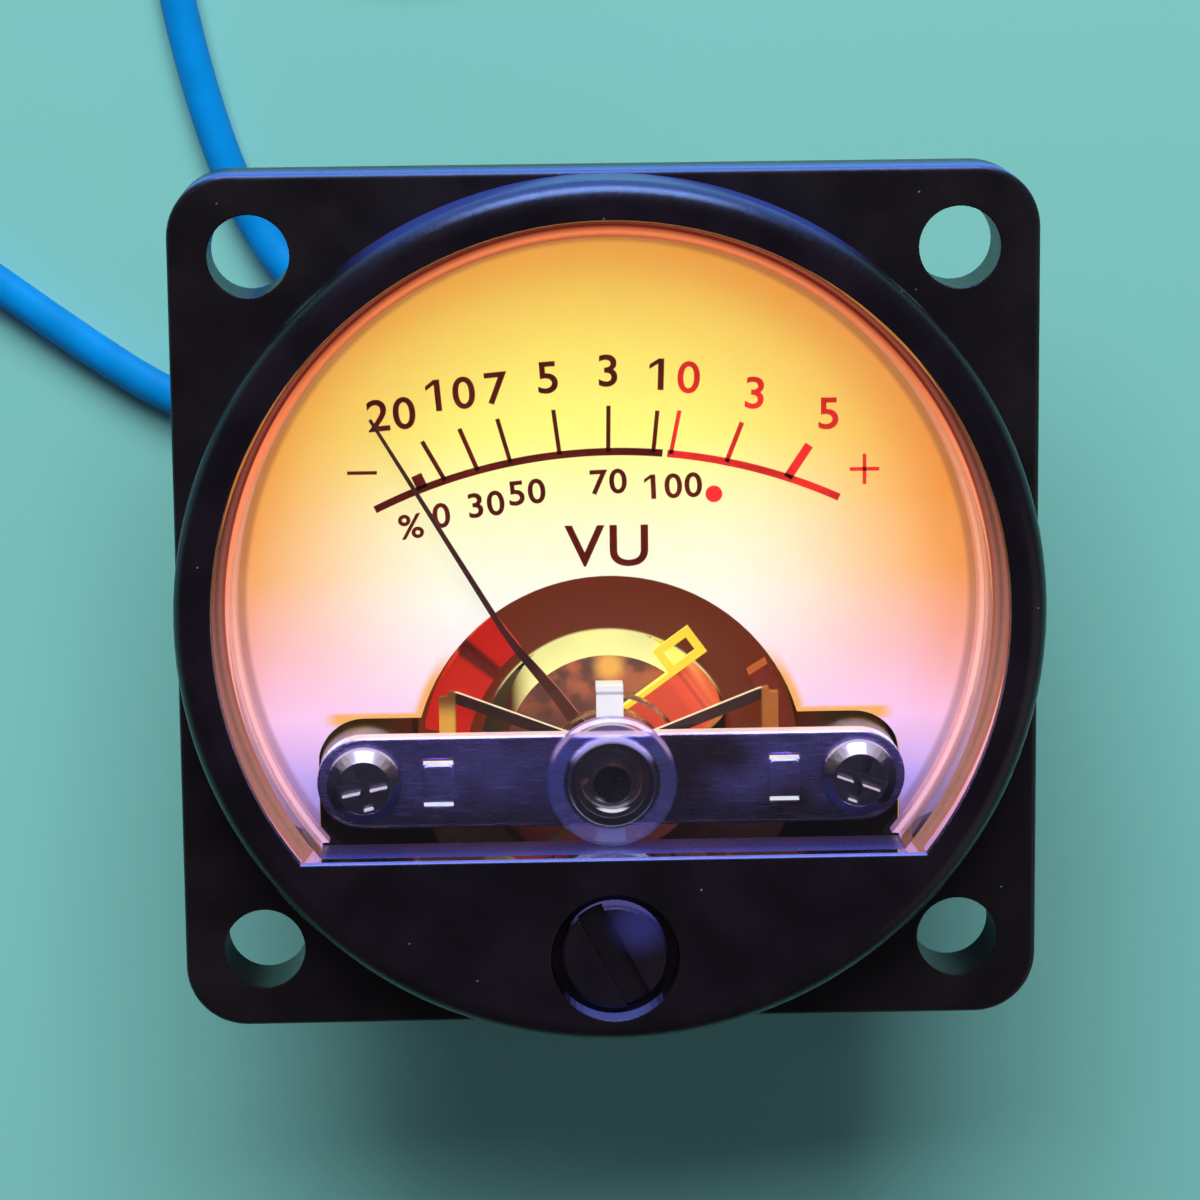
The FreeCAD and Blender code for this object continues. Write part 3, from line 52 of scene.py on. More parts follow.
FLANGE_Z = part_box("rear_case")[1][2]
DIAL_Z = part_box("dial_plate")[1][2]
FLANGE_TOP = FLANGE_Z / MM
FRONT_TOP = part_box("front_bezel")[1][2] / MM
CORE_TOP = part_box("core_magnet")[1][2] / MM
PIVOT_Y = -6.95
ZERO_Y = -13.8
CUT_RADIUS = 8.0
COIL_AXIS_TURN = 54.1


# Camera
# The turn is in radians, and the nearest and furthest distance seen are in metres.

CAMERA_FROM_FLANGE = (-5.56, 31.58, 171.09)
CAMERA_TURN = (-0.182, -0.030, -0.016)
SENSOR_MM = 36.0
LENS_MM = 128.7
NEAREST = 0.01
FURTHEST = 5.0


def make_camera():
    data = bpy.data.cameras.new("camera")
    data.sensor_width = SENSOR_MM
    data.lens = LENS_MM
    data.clip_start = NEAREST
    data.clip_end = FURTHEST
    camera = bpy.data.objects.new("camera", data)
    bpy.context.scene.collection.objects.link(camera)
    x, y, z = CAMERA_FROM_FLANGE
    place = Matrix.Translation((x * MM, y * MM, z * MM + FLANGE_Z))
    camera.matrix_world = place @ Euler(CAMERA_TURN, "ZYX").to_matrix().to_4x4()
    bpy.context.scene.camera = camera


make_camera()


# Node helpers

TONE_SCALE = 0.35
TONE_FADE = (0.3, 0.7)
SPECK_CORE = 0.6
SPECK_RARITY = 0.8
SMOOTHEST = 0.02
RELIEF_SHARE = 0.2


def new_material(name):
    material = bpy.data.materials.new(name)
    material.use_nodes = True
    tree = material.node_tree
    return material, tree, tree.nodes["Principled BSDF"]


def add(tree, kind, **settings):
    """A node, with its settings; an input is set by its name, as Scale=3."""
    node = tree.nodes.new(kind)
    for key, value in settings.items():
        if hasattr(node, key):
            setattr(node, key, value)
        else:
            node.inputs[key.replace("_", " ")].default_value = value
    return node


def link(tree, output, target):
    tree.links.new(output, target)


def calc(tree, operation, first, second=None, third=None, clamp=False):
    node = tree.nodes.new("ShaderNodeMath")
    node.operation = operation
    node.use_clamp = clamp
    for socket, value in zip(node.inputs, (first, second, third)):
        if value is None:
            continue
        if isinstance(value, (int, float)):
            socket.default_value = value
        else:
            link(tree, value, socket)
    return node.outputs[0]


def place_mm(tree):
    """The object's own coordinates in millimetres: x, y and z outputs."""
    coordinates = tree.nodes.new("ShaderNodeTexCoord")
    scaled = add(tree, "ShaderNodeVectorMath", operation="SCALE")
    scaled.inputs["Scale"].default_value = 1 / MM
    link(tree, coordinates.outputs["Object"], scaled.inputs[0])
    split = tree.nodes.new("ShaderNodeSeparateXYZ")
    link(tree, scaled.outputs[0], split.inputs[0])
    return scaled.outputs[0], split.outputs


def between(tree, value, low, high):
    """0 below low and 1 above high, with a soft rise between; high may be the lower one."""
    node = add(tree, "ShaderNodeMapRange", interpolation_type="SMOOTHSTEP")
    node.inputs["From Min"].default_value = low
    node.inputs["From Max"].default_value = high
    link(tree, value, node.inputs["Value"])
    return node.outputs["Result"]


def distance_to(tree, split, x, y):
    """Distance in the plane of the dial from a point, in millimetres."""
    across = calc(tree, "SUBTRACT", split[0], x)
    along = calc(tree, "SUBTRACT", split[1], y)
    across_squared = calc(tree, "MULTIPLY", across, across)
    along_squared = calc(tree, "MULTIPLY", along, along)
    return calc(tree, "SQRT", calc(tree, "ADD", across_squared, along_squared))


def lamp_side(tree, low=0.4, high=0.85):
    """1 on walls that face up the dial, where the lamp stands, and 0 on the others."""
    geometry = tree.nodes.new("ShaderNodeNewGeometry")
    split = tree.nodes.new("ShaderNodeSeparateXYZ")
    link(tree, geometry.outputs["True Normal"], split.inputs[0])
    return between(tree, split.outputs[1], low, high)


def band(tree, value, low, high, soft=0.06):
    """1 between low and high, 0 outside, with soft ends."""
    return calc(tree, "MULTIPLY", between(tree, value, low - soft, low + soft),
                between(tree, value, high + soft, high - soft))


def mix_colour(tree, factor, first, second, blend="MIX"):
    node = tree.nodes.new("ShaderNodeMix")
    node.data_type = "RGBA"
    node.blend_type = blend
    for name, value in (("Factor_Float", factor), ("A_Color", first), ("B_Color", second)):
        socket = next(s for s in node.inputs if s.identifier == name)
        if isinstance(value, (int, float)):
            socket.default_value = value
        elif isinstance(value, tuple):
            socket.default_value = (*value, 1.0)
        else:
            link(tree, value, socket)
    return next(s for s in node.outputs if s.identifier == "Result_Color")


def ramp(tree, factor, stops):
    """A colour ramp over 0 to 1 from (place, colour) pairs."""
    node = tree.nodes.new("ShaderNodeValToRGB")
    elements = node.color_ramp.elements
    while len(elements) < len(stops):
        elements.new(0.5)
    for element, (place, colour) in zip(elements, stops):
        element.position = place
        element.color = (*colour, 1.0)
    link(tree, factor, node.inputs["Fac"])
    return node.outputs["Color"]


def shown(red, green, blue):
    """A colour as it is seen on a screen, 0 to 255, as a linear one."""
    parts = [c / 255 for c in (red, green, blue)]
    return tuple(c / 12.92 if c <= 0.04045 else ((c + 0.055) / 1.055) ** 2.4 for c in parts)


def finish_surface(name, colour, metallic=0.0, roughness=0.4, rough_spread=0.1, grain_mm=0.3,
                   bump=0.1, variation=0.2, stretch=(1, 1, 1), coat=0.0, specks=None, edge_mm=0.0,
                   glow=None, tone=None, specular=0.5):
    """A worn surface: its colour and roughness vary with a grain, which also gives the bump. A glow adds
    painted light as emission, and a tone changes the colour by place.
    """
    material, tree, shader = new_material(name)
    shader.inputs["Metallic"].default_value = metallic
    shader.inputs["Coat Weight"].default_value = coat
    place, split = place_mm(tree)
    if glow:
        link(tree, glow(tree, split), shader.inputs["Emission Color"])
        shader.inputs["Emission Strength"].default_value = 1.0
    spread = add(tree, "ShaderNodeVectorMath", operation="MULTIPLY")
    link(tree, place, spread.inputs[0])
    spread.inputs[1].default_value = stretch
    grain = add(tree, "ShaderNodeTexNoise", Scale=1 / grain_mm, Detail=4.0)
    broad = add(tree, "ShaderNodeTexNoise", Scale=TONE_SCALE, Detail=2.0)
    link(tree, spread.outputs[0], grain.inputs["Vector"])
    link(tree, place, broad.inputs["Vector"])
    dark = tuple(c * (1 - variation) for c in colour)
    light = tuple(min(1.0, c * (1 + variation)) for c in colour)
    toned = mix_colour(tree, between(tree, broad.outputs["Fac"], *TONE_FADE), dark, light)
    if specks:
        size, share, speck_colour = specks
        cells = add(tree, "ShaderNodeTexVoronoi", Scale=1 / size)
        link(tree, place, cells.inputs["Vector"])
        dot = between(tree, cells.outputs["Distance"], share, share * SPECK_CORE)
        rare = calc(tree, "GREATER_THAN", cell_number(tree, cells), SPECK_RARITY)
        toned = mix_colour(tree, calc(tree, "MULTIPLY", dot, rare), toned, speck_colour)
    if tone:
        toned = tone(tree, split, toned)
    link(tree, toned, shader.inputs["Base Color"])
    shader.inputs["Specular IOR Level"].default_value = specular
    rough = add(tree, "ShaderNodeMapRange")
    rough.inputs["To Min"].default_value = max(SMOOTHEST, roughness - rough_spread)
    rough.inputs["To Max"].default_value = roughness + rough_spread
    link(tree, grain.outputs["Fac"], rough.inputs["Value"])
    link(tree, rough.outputs["Result"], shader.inputs["Roughness"])
    relief = add(tree, "ShaderNodeBump", Strength=bump, Distance=grain_mm * MM * RELIEF_SHARE)
    link(tree, grain.outputs["Fac"], relief.inputs["Height"])
    if edge_mm:
        edge = add(tree, "ShaderNodeBevel", samples=6)
        edge.inputs["Radius"].default_value = edge_mm * MM
        link(tree, edge.outputs["Normal"], relief.inputs["Normal"])
    link(tree, relief.outputs["Normal"], shader.inputs["Normal"])
    return material


def cell_number(tree, cells):
    """A number from 0 to 1 that differs from cell to cell."""
    split = tree.nodes.new("ShaderNodeSeparateColor")
    link(tree, cells.outputs["Color"], split.inputs[0])
    return split.outputs[0]


def dress(material, *nodes):
    """Give pieces of the frame a material."""
    for node in nodes:
        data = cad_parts[node].data
        data.materials.clear()
        data.materials.append(material)


# Leads

LEAD_DIAMETER = 1.6
LEAD_ROUTES = {
    "a": [(-7.1, 8.6, 3.2), (-10.6, 9.2, 2.8), (-13.6, 11.5, 1.6), (-15.8, 15.1, 1.05),
          (-17.2, 19.4, 1.02), (-18.3, 24.2, 1.02), (-18.9, 29.6, 1.02), (-18.9, 35.0, 1.02)],
    "b": [(3.9, 8.6, 3.2), (0.3, 7.9, 2.9), (-4.0, 5.7, 1.7), (-8.8, 4.1, 1.1), (-13.9, 4.1, 1.02),
          (-18.9, 5.7, 1.02), (-23.3, 8.7, 1.02), (-28.0, 12.2, 1.02), (-32.8, 15.3, 1.02)],
}
COIL_SIDE = {"a": -1, "b": 1}
COIL_RADIUS = 9.85
COIL_STEP = 1.05
COIL_HALF_TURNS = 3
POINTS_PER_HALF_TURN = 12
LEAD_SIDES = 6
LEAD_STEPS = 8
SPLINE_ORDER = 3


def coil_points(route, side):
    """Points outside each half turn of the put-away coil, so that the spline has its radius.

    A spline of order 3 runs inside its points, by at_knot midway between two and by past_point at one."""
    end, before = Vector(route[-1]), Vector(route[-2])
    heading = math.atan2(end.y - before.y, end.x - before.x)
    step = math.pi / POINTS_PER_HALF_TURN
    at_knot = math.cos(step / 2)
    past_point = 0.75 + 0.25 * math.cos(step)
    outward = 2 / (at_knot + past_point)
    points = []
    radius = COIL_RADIUS
    for _ in range(COIL_HALF_TURNS):
        left = heading + side * math.pi / 2
        centre = end + Vector((math.cos(left), math.sin(left), 0)) * radius
        for k in range(POINTS_PER_HALF_TURN):
            angle = left + math.pi + side * step * (k + 0.5)
            points.append(centre + Vector((math.cos(angle), math.sin(angle), 0)) * radius * outward)
        end = centre * 2 - end
        heading += math.pi
        radius -= COIL_STEP
    points.append(end)
    return points


def make_lead(letter):
    route = LEAD_ROUTES[letter]
    points = [Vector(p) for p in route] + coil_points(route, COIL_SIDE[letter])
    curve = bpy.data.curves.new("lead_" + letter, "CURVE")
    curve.dimensions = "3D"
    curve.bevel_depth = LEAD_DIAMETER / 2 * MM
    curve.bevel_resolution = LEAD_SIDES
    curve.resolution_u = LEAD_STEPS
    curve.use_fill_caps = True
    spline = curve.splines.new("NURBS")
    spline.points.add(len(points) - 1)
    for target, point in zip(spline.points, points):
        target.co = (*(point * MM), 1.0)
    spline.order_u = SPLINE_ORDER
    spline.use_endpoint_u = True
    lead = bpy.data.objects.new("lead_" + letter, curve)
    bpy.context.scene.collection.objects.link(lead)
    curve.materials.append(lead_material)
    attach(lead, "case")
    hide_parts("lamp_lead_" + letter, "lamp_lead_" + letter + "_coil")


lead_material = finish_surface("lead_blue", (0.001, 0.27, 0.78), roughness=0.5, grain_mm=0.5, bump=0.12,
                               variation=0.12, specular=0.15)
for letter in "ab":
    make_lead(letter)


# Dial print
# A figure is its text, x, y, height and turn. A straight line, such as a tick or a stroke of a sign, is
# the x and y of one end, those of the other end, and its width.

PRINT_DARK = shown(82, 18, 10)
PRINT_RED = shown(206, 38, 34)
PRINT_HEIGHT = 0.015
PRINT_BOLD = 0.022
CAPITAL_SHARE = 0.72
FIGURE_WIDEN = 1.08
FIGURE_SPACE = 1.08
LARGE = 1.3
SMALL = 1.0
LETTERS = 1.72
SCALE_CENTRE = (0.25, -15.76)
SCALE_RADIUS = 21.9
SCALE_WIDTH = 0.3
SCALE_LEFT = -26.1
SCALE_RIGHT = 24.7
SPLIT_ANGLE = 5.5
SPLIT_GAP = 0.25
ARC_STEPS = 24
DOT_SIDES = 32
FLAG_REACH = 0.25
FLAG_DROP = 0.19
FLAG_END = 0.14
FLAG_ROOT = 0.15
FLAG_OVERLAP = 0.02
FIGURES_DARK = [("20", -8.66, 7.71, LARGE, 5), ("10", -6.25, 8.5, LARGE, 5), ("7", -4.45, 8.72, LARGE, 5),
                ("5", -2.34, 9.12, LARGE, 4), ("3", 0.09, 9.36, LARGE, 1), ("1", 2.21, 9.18, LARGE, -2),
                ("%", -7.94, 3.15, SMALL, 6), ("0", -6.71, 3.58, SMALL, 5), ("30", -4.91, 4.01, SMALL, 6),
                ("50", -3.25, 4.48, SMALL, 5), ("70", 0.04, 4.86, SMALL, 2), ("100", 2.68, 4.65, SMALL, 2),
                ("VU", 0.03, 2.2, LETTERS, 0)]
FIGURES_RED = [("0", 3.33, 9.04, LARGE, -3), ("3", 6.0, 8.37, LARGE, -4), ("5", 8.98, 7.5, LARGE, 0)]
TICKS_DARK = [(-7.44, 6.67, -6.54, 5.06, 0.18), (-5.93, 7.16, -5.22, 5.45, 0.18),
              (-4.4, 7.54, -3.89, 5.75, 0.17), (-2.14, 7.87, -1.9, 6.03, 0.17),
              (0.09, 8.01, 0.06, 6.14, 0.17), (2.06, 7.78, 1.88, 6.08, 0.17),
              (-7.7, 5.3, -7.45, 4.74, 0.45)]
TICKS_RED = [(2.95, 7.77, 2.59, 6.01, 0.17), (5.47, 7.25, 4.84, 5.65, 0.19), (8.19, 6.29, 7.31, 4.97, 0.36)]
MINUS = [(-10.48, 5.42, -9.28, 5.42, 0.14)]
PLUS = [(9.83, 5.28, 11.03, 5.28, 0.15), (10.43, 5.9, 10.43, 4.66, 0.15)]
RED_DOT = (4.32, 4.35, 0.34)


def prism(mesh, outline, low, high):
    """A flat plate from a plain outline, added to a bmesh."""
    bottom = [mesh.verts.new((x * MM, y * MM, low)) for x, y in outline]
    top = [mesh.verts.new((x * MM, y * MM, high)) for x, y in outline]
    mesh.faces.new(bottom[::-1])
    mesh.faces.new(top)
    for k in range(len(outline)):
        after = (k + 1) % len(outline)
        mesh.faces.new((bottom[k], bottom[after], top[after], top[k]))


def round_point(centre, radius, angle):
    return centre[0] + radius * math.cos(angle), centre[1] + radius * math.sin(angle)


def line_outline(x1, y1, x2, y2, width):
    """The four corners of a straight line of print."""
    along = Vector((x2 - x1, y2 - y1)).normalized() * width / 2
    side = Vector((-along.y, along.x))
    return [(x1 - side.x, y1 - side.y), (x2 - side.x, y2 - side.y),
            (x2 + side.x, y2 + side.y), (x1 + side.x, y1 + side.y)]


def arc_outline(angle_from, angle_to):
    """A stretch of the scale's arc; its angles start at the top and grow to the right."""
    angles = [math.radians(90 - angle_from - (angle_to - angle_from) * k / ARC_STEPS)
              for k in range(ARC_STEPS + 1)]
    inner = [round_point(SCALE_CENTRE, SCALE_RADIUS - SCALE_WIDTH / 2, angle) for angle in angles]
    outer = [round_point(SCALE_CENTRE, SCALE_RADIUS + SCALE_WIDTH / 2, angle) for angle in angles]
    return outer[::-1] + inner


def dot_outline(x, y, radius):
    return [round_point((x, y), radius, math.tau * k / DOT_SIDES) for k in range(DOT_SIDES)]


def figure_mesh(text, x, y, height, turn):
    """A figure of the scale as a mesh, centred at x, y."""
    data = bpy.data.curves.new("figure", "FONT")
    data.body = text
    data.size = height * MM / CAPITAL_SHARE
    data.align_x = "CENTER"
    data.align_y = "CENTER"
    data.extrude = PRINT_HEIGHT / 2 * MM
    data.space_character = FIGURE_SPACE
    data.offset = PRINT_BOLD * MM
    shape = bpy.data.objects.new("figure", data)
    bpy.context.scene.collection.objects.link(shape)
    shape.location = (x * MM, y * MM, DIAL_Z + PRINT_HEIGHT / 2 * MM)
    shape.rotation_euler = (0, 0, math.radians(turn))
    shape.scale = (FIGURE_WIDEN, 1, 1)
    bpy.context.view_layer.update()
    mesh = bpy.data.meshes.new_from_object(shape.evaluated_get(bpy.context.evaluated_depsgraph_get()))
    if text.startswith("1"):
        add_flag(mesh, height)
    mesh.transform(shape.matrix_world)
    bpy.data.objects.remove(shape)
    bpy.data.curves.remove(data)
    return mesh


def add_flag(mesh, height):
    """The font's 1 is a bare stem, the leftmost thing in its mesh: its flag leans down from the top."""
    root = min(v.co.x for v in mesh.vertices) / MM + FLAG_OVERLAP
    end = root - FLAG_OVERLAP - FLAG_REACH * height
    top = max(v.co.y for v in mesh.vertices) / MM
    outline = [(root, top), (end, top - FLAG_DROP * height),
               (end, top - (FLAG_DROP + FLAG_END) * height), (root, top - FLAG_ROOT * height)]
    joined = bmesh.new()
    joined.from_mesh(mesh)
    prism(joined, outline, -PRINT_HEIGHT / 2 * MM, PRINT_HEIGHT / 2 * MM)
    joined.to_mesh(mesh)
    joined.free()


def make_print(name, colour, figures, outlines):
    """One colour of the print as one thin piece on the dial."""
    mesh = bmesh.new()
    for outline in outlines:
        prism(mesh, outline, DIAL_Z, DIAL_Z + PRINT_HEIGHT * MM)
    for figure in figures:
        part = figure_mesh(*figure)
        mesh.from_mesh(part)
        bpy.data.meshes.remove(part)
    bmesh.ops.recalc_face_normals(mesh, faces=mesh.faces)
    data = bpy.data.meshes.new(name)
    mesh.to_mesh(data)
    mesh.free()
    piece = bpy.data.objects.new(name, data)
    bpy.context.scene.collection.objects.link(piece)
    data.materials.append(finish_surface(name, colour, roughness=0.6, grain_mm=0.08, bump=0.05,
                                         variation=0.25, specular=0.0))
    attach(piece, "case")


def print_outlines(lines, arc):
    """Everything of one colour but its figures and its dot."""
    return [line_outline(*line) for line in lines] + [arc_outline(*arc)]


make_print("scale_print_dark", PRINT_DARK, FIGURES_DARK,
           print_outlines(TICKS_DARK + MINUS, (SCALE_LEFT, SPLIT_ANGLE - SPLIT_GAP)))
make_print("scale_print_red", PRINT_RED, FIGURES_RED,
           print_outlines(TICKS_RED + PLUS, (SPLIT_ANGLE + SPLIT_GAP, SCALE_RIGHT))
           + [dot_outline(*RED_DOT)])


# Lit pieces: painted light and shade
# Places are in millimetres. A pair is where a light is still 0 and where it is full, or the two edges of
# a band. SHELF_BLUE runs over SHELF_SPAN, the other colour ramps over DIAL_SPAN, from its foot to its top.

NO_LIGHT = (0.0, 0.0, 0.0)
DIAL_SPAN = (-10.0, 16.0)
DIAL_SIDE = [(0.0, shown(96, 100, 205)), (0.1, shown(180, 155, 235)), (0.2, shown(247, 194, 236)),
             (0.31, shown(249, 178, 178)), (0.43, shown(250, 168, 78)), (0.55, shown(251, 165, 48)),
             (0.75, shown(251, 180, 74)), (1.0, shown(251, 178, 70))]
DIAL_MIDDLE = [(0.0, shown(150, 140, 230)), (0.12, shown(220, 190, 246)), (0.25, shown(250, 232, 248)),
               (0.38, shown(250, 250, 236)), (0.51, shown(251, 250, 196)), (0.65, shown(252, 250, 116)),
               (0.81, shown(253, 240, 96)), (1.0, shown(252, 208, 74))]
LAMP_SPOT = (-0.7, 2.0)
LAMP_FADE = (15.4, 5.0)
RIM_FADE = (12.6, 15.2)
RIM_LEAN = 0.05
RIM_ABOVE = (-7.0, -1.0)
RIM_WARMTH = 0.42
DIAL_EDGE = (14.55, 14.8)
FIBRE_SCALE = 1.1
FIBRE_FADE = (0.25, 0.75)
FIBRE_SHARE = 0.06
DIAL_SHADE = 0.9
DIAL_STRENGTH = 0.95
CUT_RIM = (CUT_RADIUS + 0.5, CUT_RADIUS + 0.1)
CUT_RIM_BELOW = (-1.5, -3.5)
LOBE_RIM = (-5.0, -4.5)
LOBE_RIM_SOFT = 0.1
LOBE_ENDS = (11.8, 11.0)
RING_BRIGHT = [(0.0, shown(110, 110, 210)), (0.12, shown(200, 150, 214)), (0.28, shown(240, 168, 184)),
               (0.45, shown(240, 150, 112)), (0.7, shown(244, 144, 90)), (1.0, shown(250, 152, 100))]
RING_DIM = [(0.0, shown(50, 44, 96)), (0.25, shown(112, 70, 92)), (0.5, shown(118, 64, 60)),
            (1.0, shown(158, 84, 58))]
RING_SHADE = (15.06, 15.02)
RING_STEP = (15.4, 15.46)
RING_LINE = (15.52, 15.6)
RING_OUTSIDE = (15.6, 15.85)
RING_TOP = (6.0, 12.0)
RING_TOP_FADE = (15.12, 15.5)
LIT_HALF = (-8.8, -6.6)
YOKE_BORE = (5.42, 5.3)
YOKE_BORE_LIT = (-4.6, -3.2)
CORE_PATCH = (0.4, 0.62)
CORE_WARM = (-6.0, -3.4)
CORE_GLARE = (0.1, -3.2)
CORE_GLARE_FADE = (0.9, 0.2)
CORE_WALL = (CORE_TOP - 0.02, CORE_TOP - 0.08)
CORE_WALL_LIT = (-5.6, -3.9)
RETAINER_SIDES = (-1.0, 1.0)
RETAINER_LINE = (-0.92, -0.84)
RETAINER_LINE_SOFT = 0.02
WINDING_TURNS = 4.0
WINDING_TURN_FADE = (0.05, 0.3)
FORMER_LIT = (0.2, 0.6)
BAR_LIT = (-5.15, -5.3)
BAR_PATCH = (0.45, 0.7)
BAR_DARK = (-7.0, -8.9)
STRAP_LEG = (6.2, 6.35)
STRAP_LEG_LIT = (-4.0, -5.0)
STRAP_RIGHT = (0.0, 1.0)
POINTER_ROOT = (5.6, 4.6)
TAB_HEAD = (-3.5, -2.9)
TAB_BEND = (-3.72, -3.6)
TAB_BEND_SOFT = 0.03
TAB_FOOT = (-5.0, -4.6)
HOLDER_UPPER = (PIVOT_Y + 0.7, PIVOT_Y + 1.5)
HOLDER_LOWER = (PIVOT_Y - 0.9, PIVOT_Y - 1.05)
HOLDER_STEP = (1.72, 1.9)
HOLDER_RIM = (2.5, 2.64)
HOLDER_GLINT = (1.02, 1.16)
HOLDER_GLINT_SOFT = 0.03
HOLDER_BODY = (1.95, 2.6)
HOLDER_MIDDLE = (1.95, 1.7)
ZERO_SPOT = (1.0, ZERO_Y + 1.3)
ZERO_FADE = (1.6, 0.2)
TOP_WALL = (15.5, 16.5)
TOP_WALL_FACE = (FLANGE_TOP - 3.0, FLANGE_TOP)
SHELF = (-9.85, -9.65)
SHELF_SPAN = (FRONT_TOP - 3.4, FRONT_TOP)
SHELF_BLUE = [(0.0, shown(44, 32, 66)), (0.3, shown(40, 38, 96)), (0.7, shown(56, 68, 170)),
              (0.93, shown(96, 116, 226)), (1.0, shown(126, 142, 250))]
RECESS_WALL = (2.5, 2.7)
SHOULDER = (13.5, 15.5)


def between_linear(tree, value, low, high):
    node = tree.nodes.new("ShaderNodeMapRange")
    node.inputs["From Min"].default_value = low
    node.inputs["From Max"].default_value = high
    link(tree, value, node.inputs["Value"])
    return node.outputs["Result"]


def both(tree, first, second):
    """1 where both of two masks are 1."""
    return calc(tree, "MULTIPLY", first, second)


def near_pivot(tree, split):
    return distance_to(tree, split, 0.0, PIVOT_Y)


def patches(tree, scale, detail):
    """A broad noise over the piece."""
    noise = add(tree, "ShaderNodeTexNoise", Scale=scale, Detail=detail)
    link(tree, place_mm(tree)[0], noise.inputs["Vector"])
    return noise.outputs["Fac"]


def cut_rim(tree, split):
    """1 on the thin lit rim of the dial's cut-out and of its two side lobes."""
    rim = both(tree, between(tree, near_pivot(tree, split), *CUT_RIM),
               between(tree, split[1], *CUT_RIM_BELOW))
    ends = between(tree, calc(tree, "ABSOLUTE", split[0]), *LOBE_ENDS)
    lobe = both(tree, band(tree, split[1], *LOBE_RIM, LOBE_RIM_SOFT), ends)
    return calc(tree, "MAXIMUM", rim, lobe)


def dial_light(tree, split):
    """Painted light of the lit dial: warm round the lamp, orange at the rim, violet from bluish light at the
    foot, painted shade at its edge by the bezel, and a lit rim round the cut-out.
    """
    up = between_linear(tree, split[1], *DIAL_SPAN)
    near = distance_to(tree, split, *LAMP_SPOT)
    whole = mix_colour(tree, between(tree, near, *LAMP_FADE), ramp(tree, up, DIAL_SIDE),
                       ramp(tree, up, DIAL_MIDDLE))
    out = distance_to(tree, split, 0.0, 0.0)
    leaning = calc(tree, "ADD", out, calc(tree, "MULTIPLY", split[0], RIM_LEAN))
    warm = both(tree, between(tree, leaning, *RIM_FADE), between(tree, split[1], *RIM_ABOVE))
    whole = mix_colour(tree, calc(tree, "MULTIPLY", warm, RIM_WARMTH), whole, shown(240, 130, 52))
    edge = mix_colour(tree, 0.5, whole, shown(110, 44, 44))
    whole = mix_colour(tree, between(tree, out, *DIAL_EDGE), whole, edge)
    return mix_colour(tree, cut_rim(tree, split), whole, shown(244, 170, 76))


def dial_material():
    """The lit plate: its painted light, given as emission, has a faint fibre, and its base colour is kept
    nearly black so that the painted light alone gives its colour.
    """
    material, tree, shader = new_material("dial_print")
    place, split = place_mm(tree)
    light = dial_light(tree, split)
    fibre = add(tree, "ShaderNodeTexNoise", Scale=FIBRE_SCALE, Detail=5.0)
    link(tree, place, fibre.inputs["Vector"])
    faded = mix_colour(tree, between(tree, fibre.outputs["Fac"], *FIBRE_FADE), light,
                       mix_colour(tree, FIBRE_SHARE, light, (0.9, 0.5, 0.3)))
    link(tree, mix_colour(tree, DIAL_SHADE, faded, (0.05, 0.04, 0.04)), shader.inputs["Base Color"])
    link(tree, faded, shader.inputs["Emission Color"])
    shader.inputs["Emission Strength"].default_value = DIAL_STRENGTH
    shader.inputs["Specular IOR Level"].default_value = 0.0
    shader.inputs["Roughness"].default_value = 0.55
    relief = add(tree, "ShaderNodeBump", Strength=0.05, Distance=0.02 * MM)
    link(tree, fibre.outputs["Fac"], relief.inputs["Height"])
    link(tree, relief.outputs["Normal"], shader.inputs["Normal"])
    return material


def glow_surface(name, colour, glow, strength=1.0, roughness=0.35, metallic=0.0):
    """A surface with painted lamp light, given as emission: glow is one colour, or a function of the tree
    that gives its painted light.
    """
    material, tree, shader = new_material(name)
    place, split = place_mm(tree)
    grain = add(tree, "ShaderNodeTexNoise", Scale=2.5, Detail=4.0)
    link(tree, place, grain.inputs["Vector"])
    toned = mix_colour(tree, grain.outputs["Fac"], tuple(c * 0.8 for c in colour), colour)
    link(tree, toned, shader.inputs["Base Color"])
    if callable(glow):
        light = glow(tree, split)
    else:
        light = mix_colour(tree, grain.outputs["Fac"], tuple(c * 0.7 for c in glow), glow)
    link(tree, light, shader.inputs["Emission Color"])
    shader.inputs["Emission Strength"].default_value = strength
    shader.inputs["Specular IOR Level"].default_value = 0.2
    shader.inputs["Roughness"].default_value = roughness
    shader.inputs["Metallic"].default_value = metallic
    relief = add(tree, "ShaderNodeBump", Strength=0.1, Distance=0.03 * MM)
    link(tree, grain.outputs["Fac"], relief.inputs["Height"])
    link(tree, relief.outputs["Normal"], shader.inputs["Normal"])
    return material


def ring_glow(tree, split):
    """Painted light round the dial: a bright lit step with a painted shaded side and a dimmer top, a dark
    line, and a dim band, a painted reflection of the dial, falling to painted shade next to the bezel.
    """
    up = between_linear(tree, split[1], *DIAL_SPAN)
    bright = ramp(tree, up, RING_BRIGHT)
    out = distance_to(tree, split, 0.0, 0.0)
    shaded = mix_colour(tree, 0.45, bright, shown(120, 50, 40))
    step = mix_colour(tree, between(tree, out, *RING_SHADE), bright, shaded)
    soft = both(tree, between(tree, out, *RING_TOP_FADE), between(tree, split[1], *RING_TOP))
    step = mix_colour(tree, soft, step, shown(120, 58, 34))
    outer = mix_colour(tree, between(tree, out, *RING_LINE), shown(104, 32, 26), ramp(tree, up, RING_DIM))
    outer = mix_colour(tree, between(tree, out, *RING_OUTSIDE), outer, shown(52, 24, 26))
    return mix_colour(tree, between(tree, out, *RING_STEP), step, outer)


def lit_half(tree, split):
    """1 above the pivot, where the lamp's light reaches, and 0 below the bar."""
    return between(tree, split[1], *LIT_HALF)


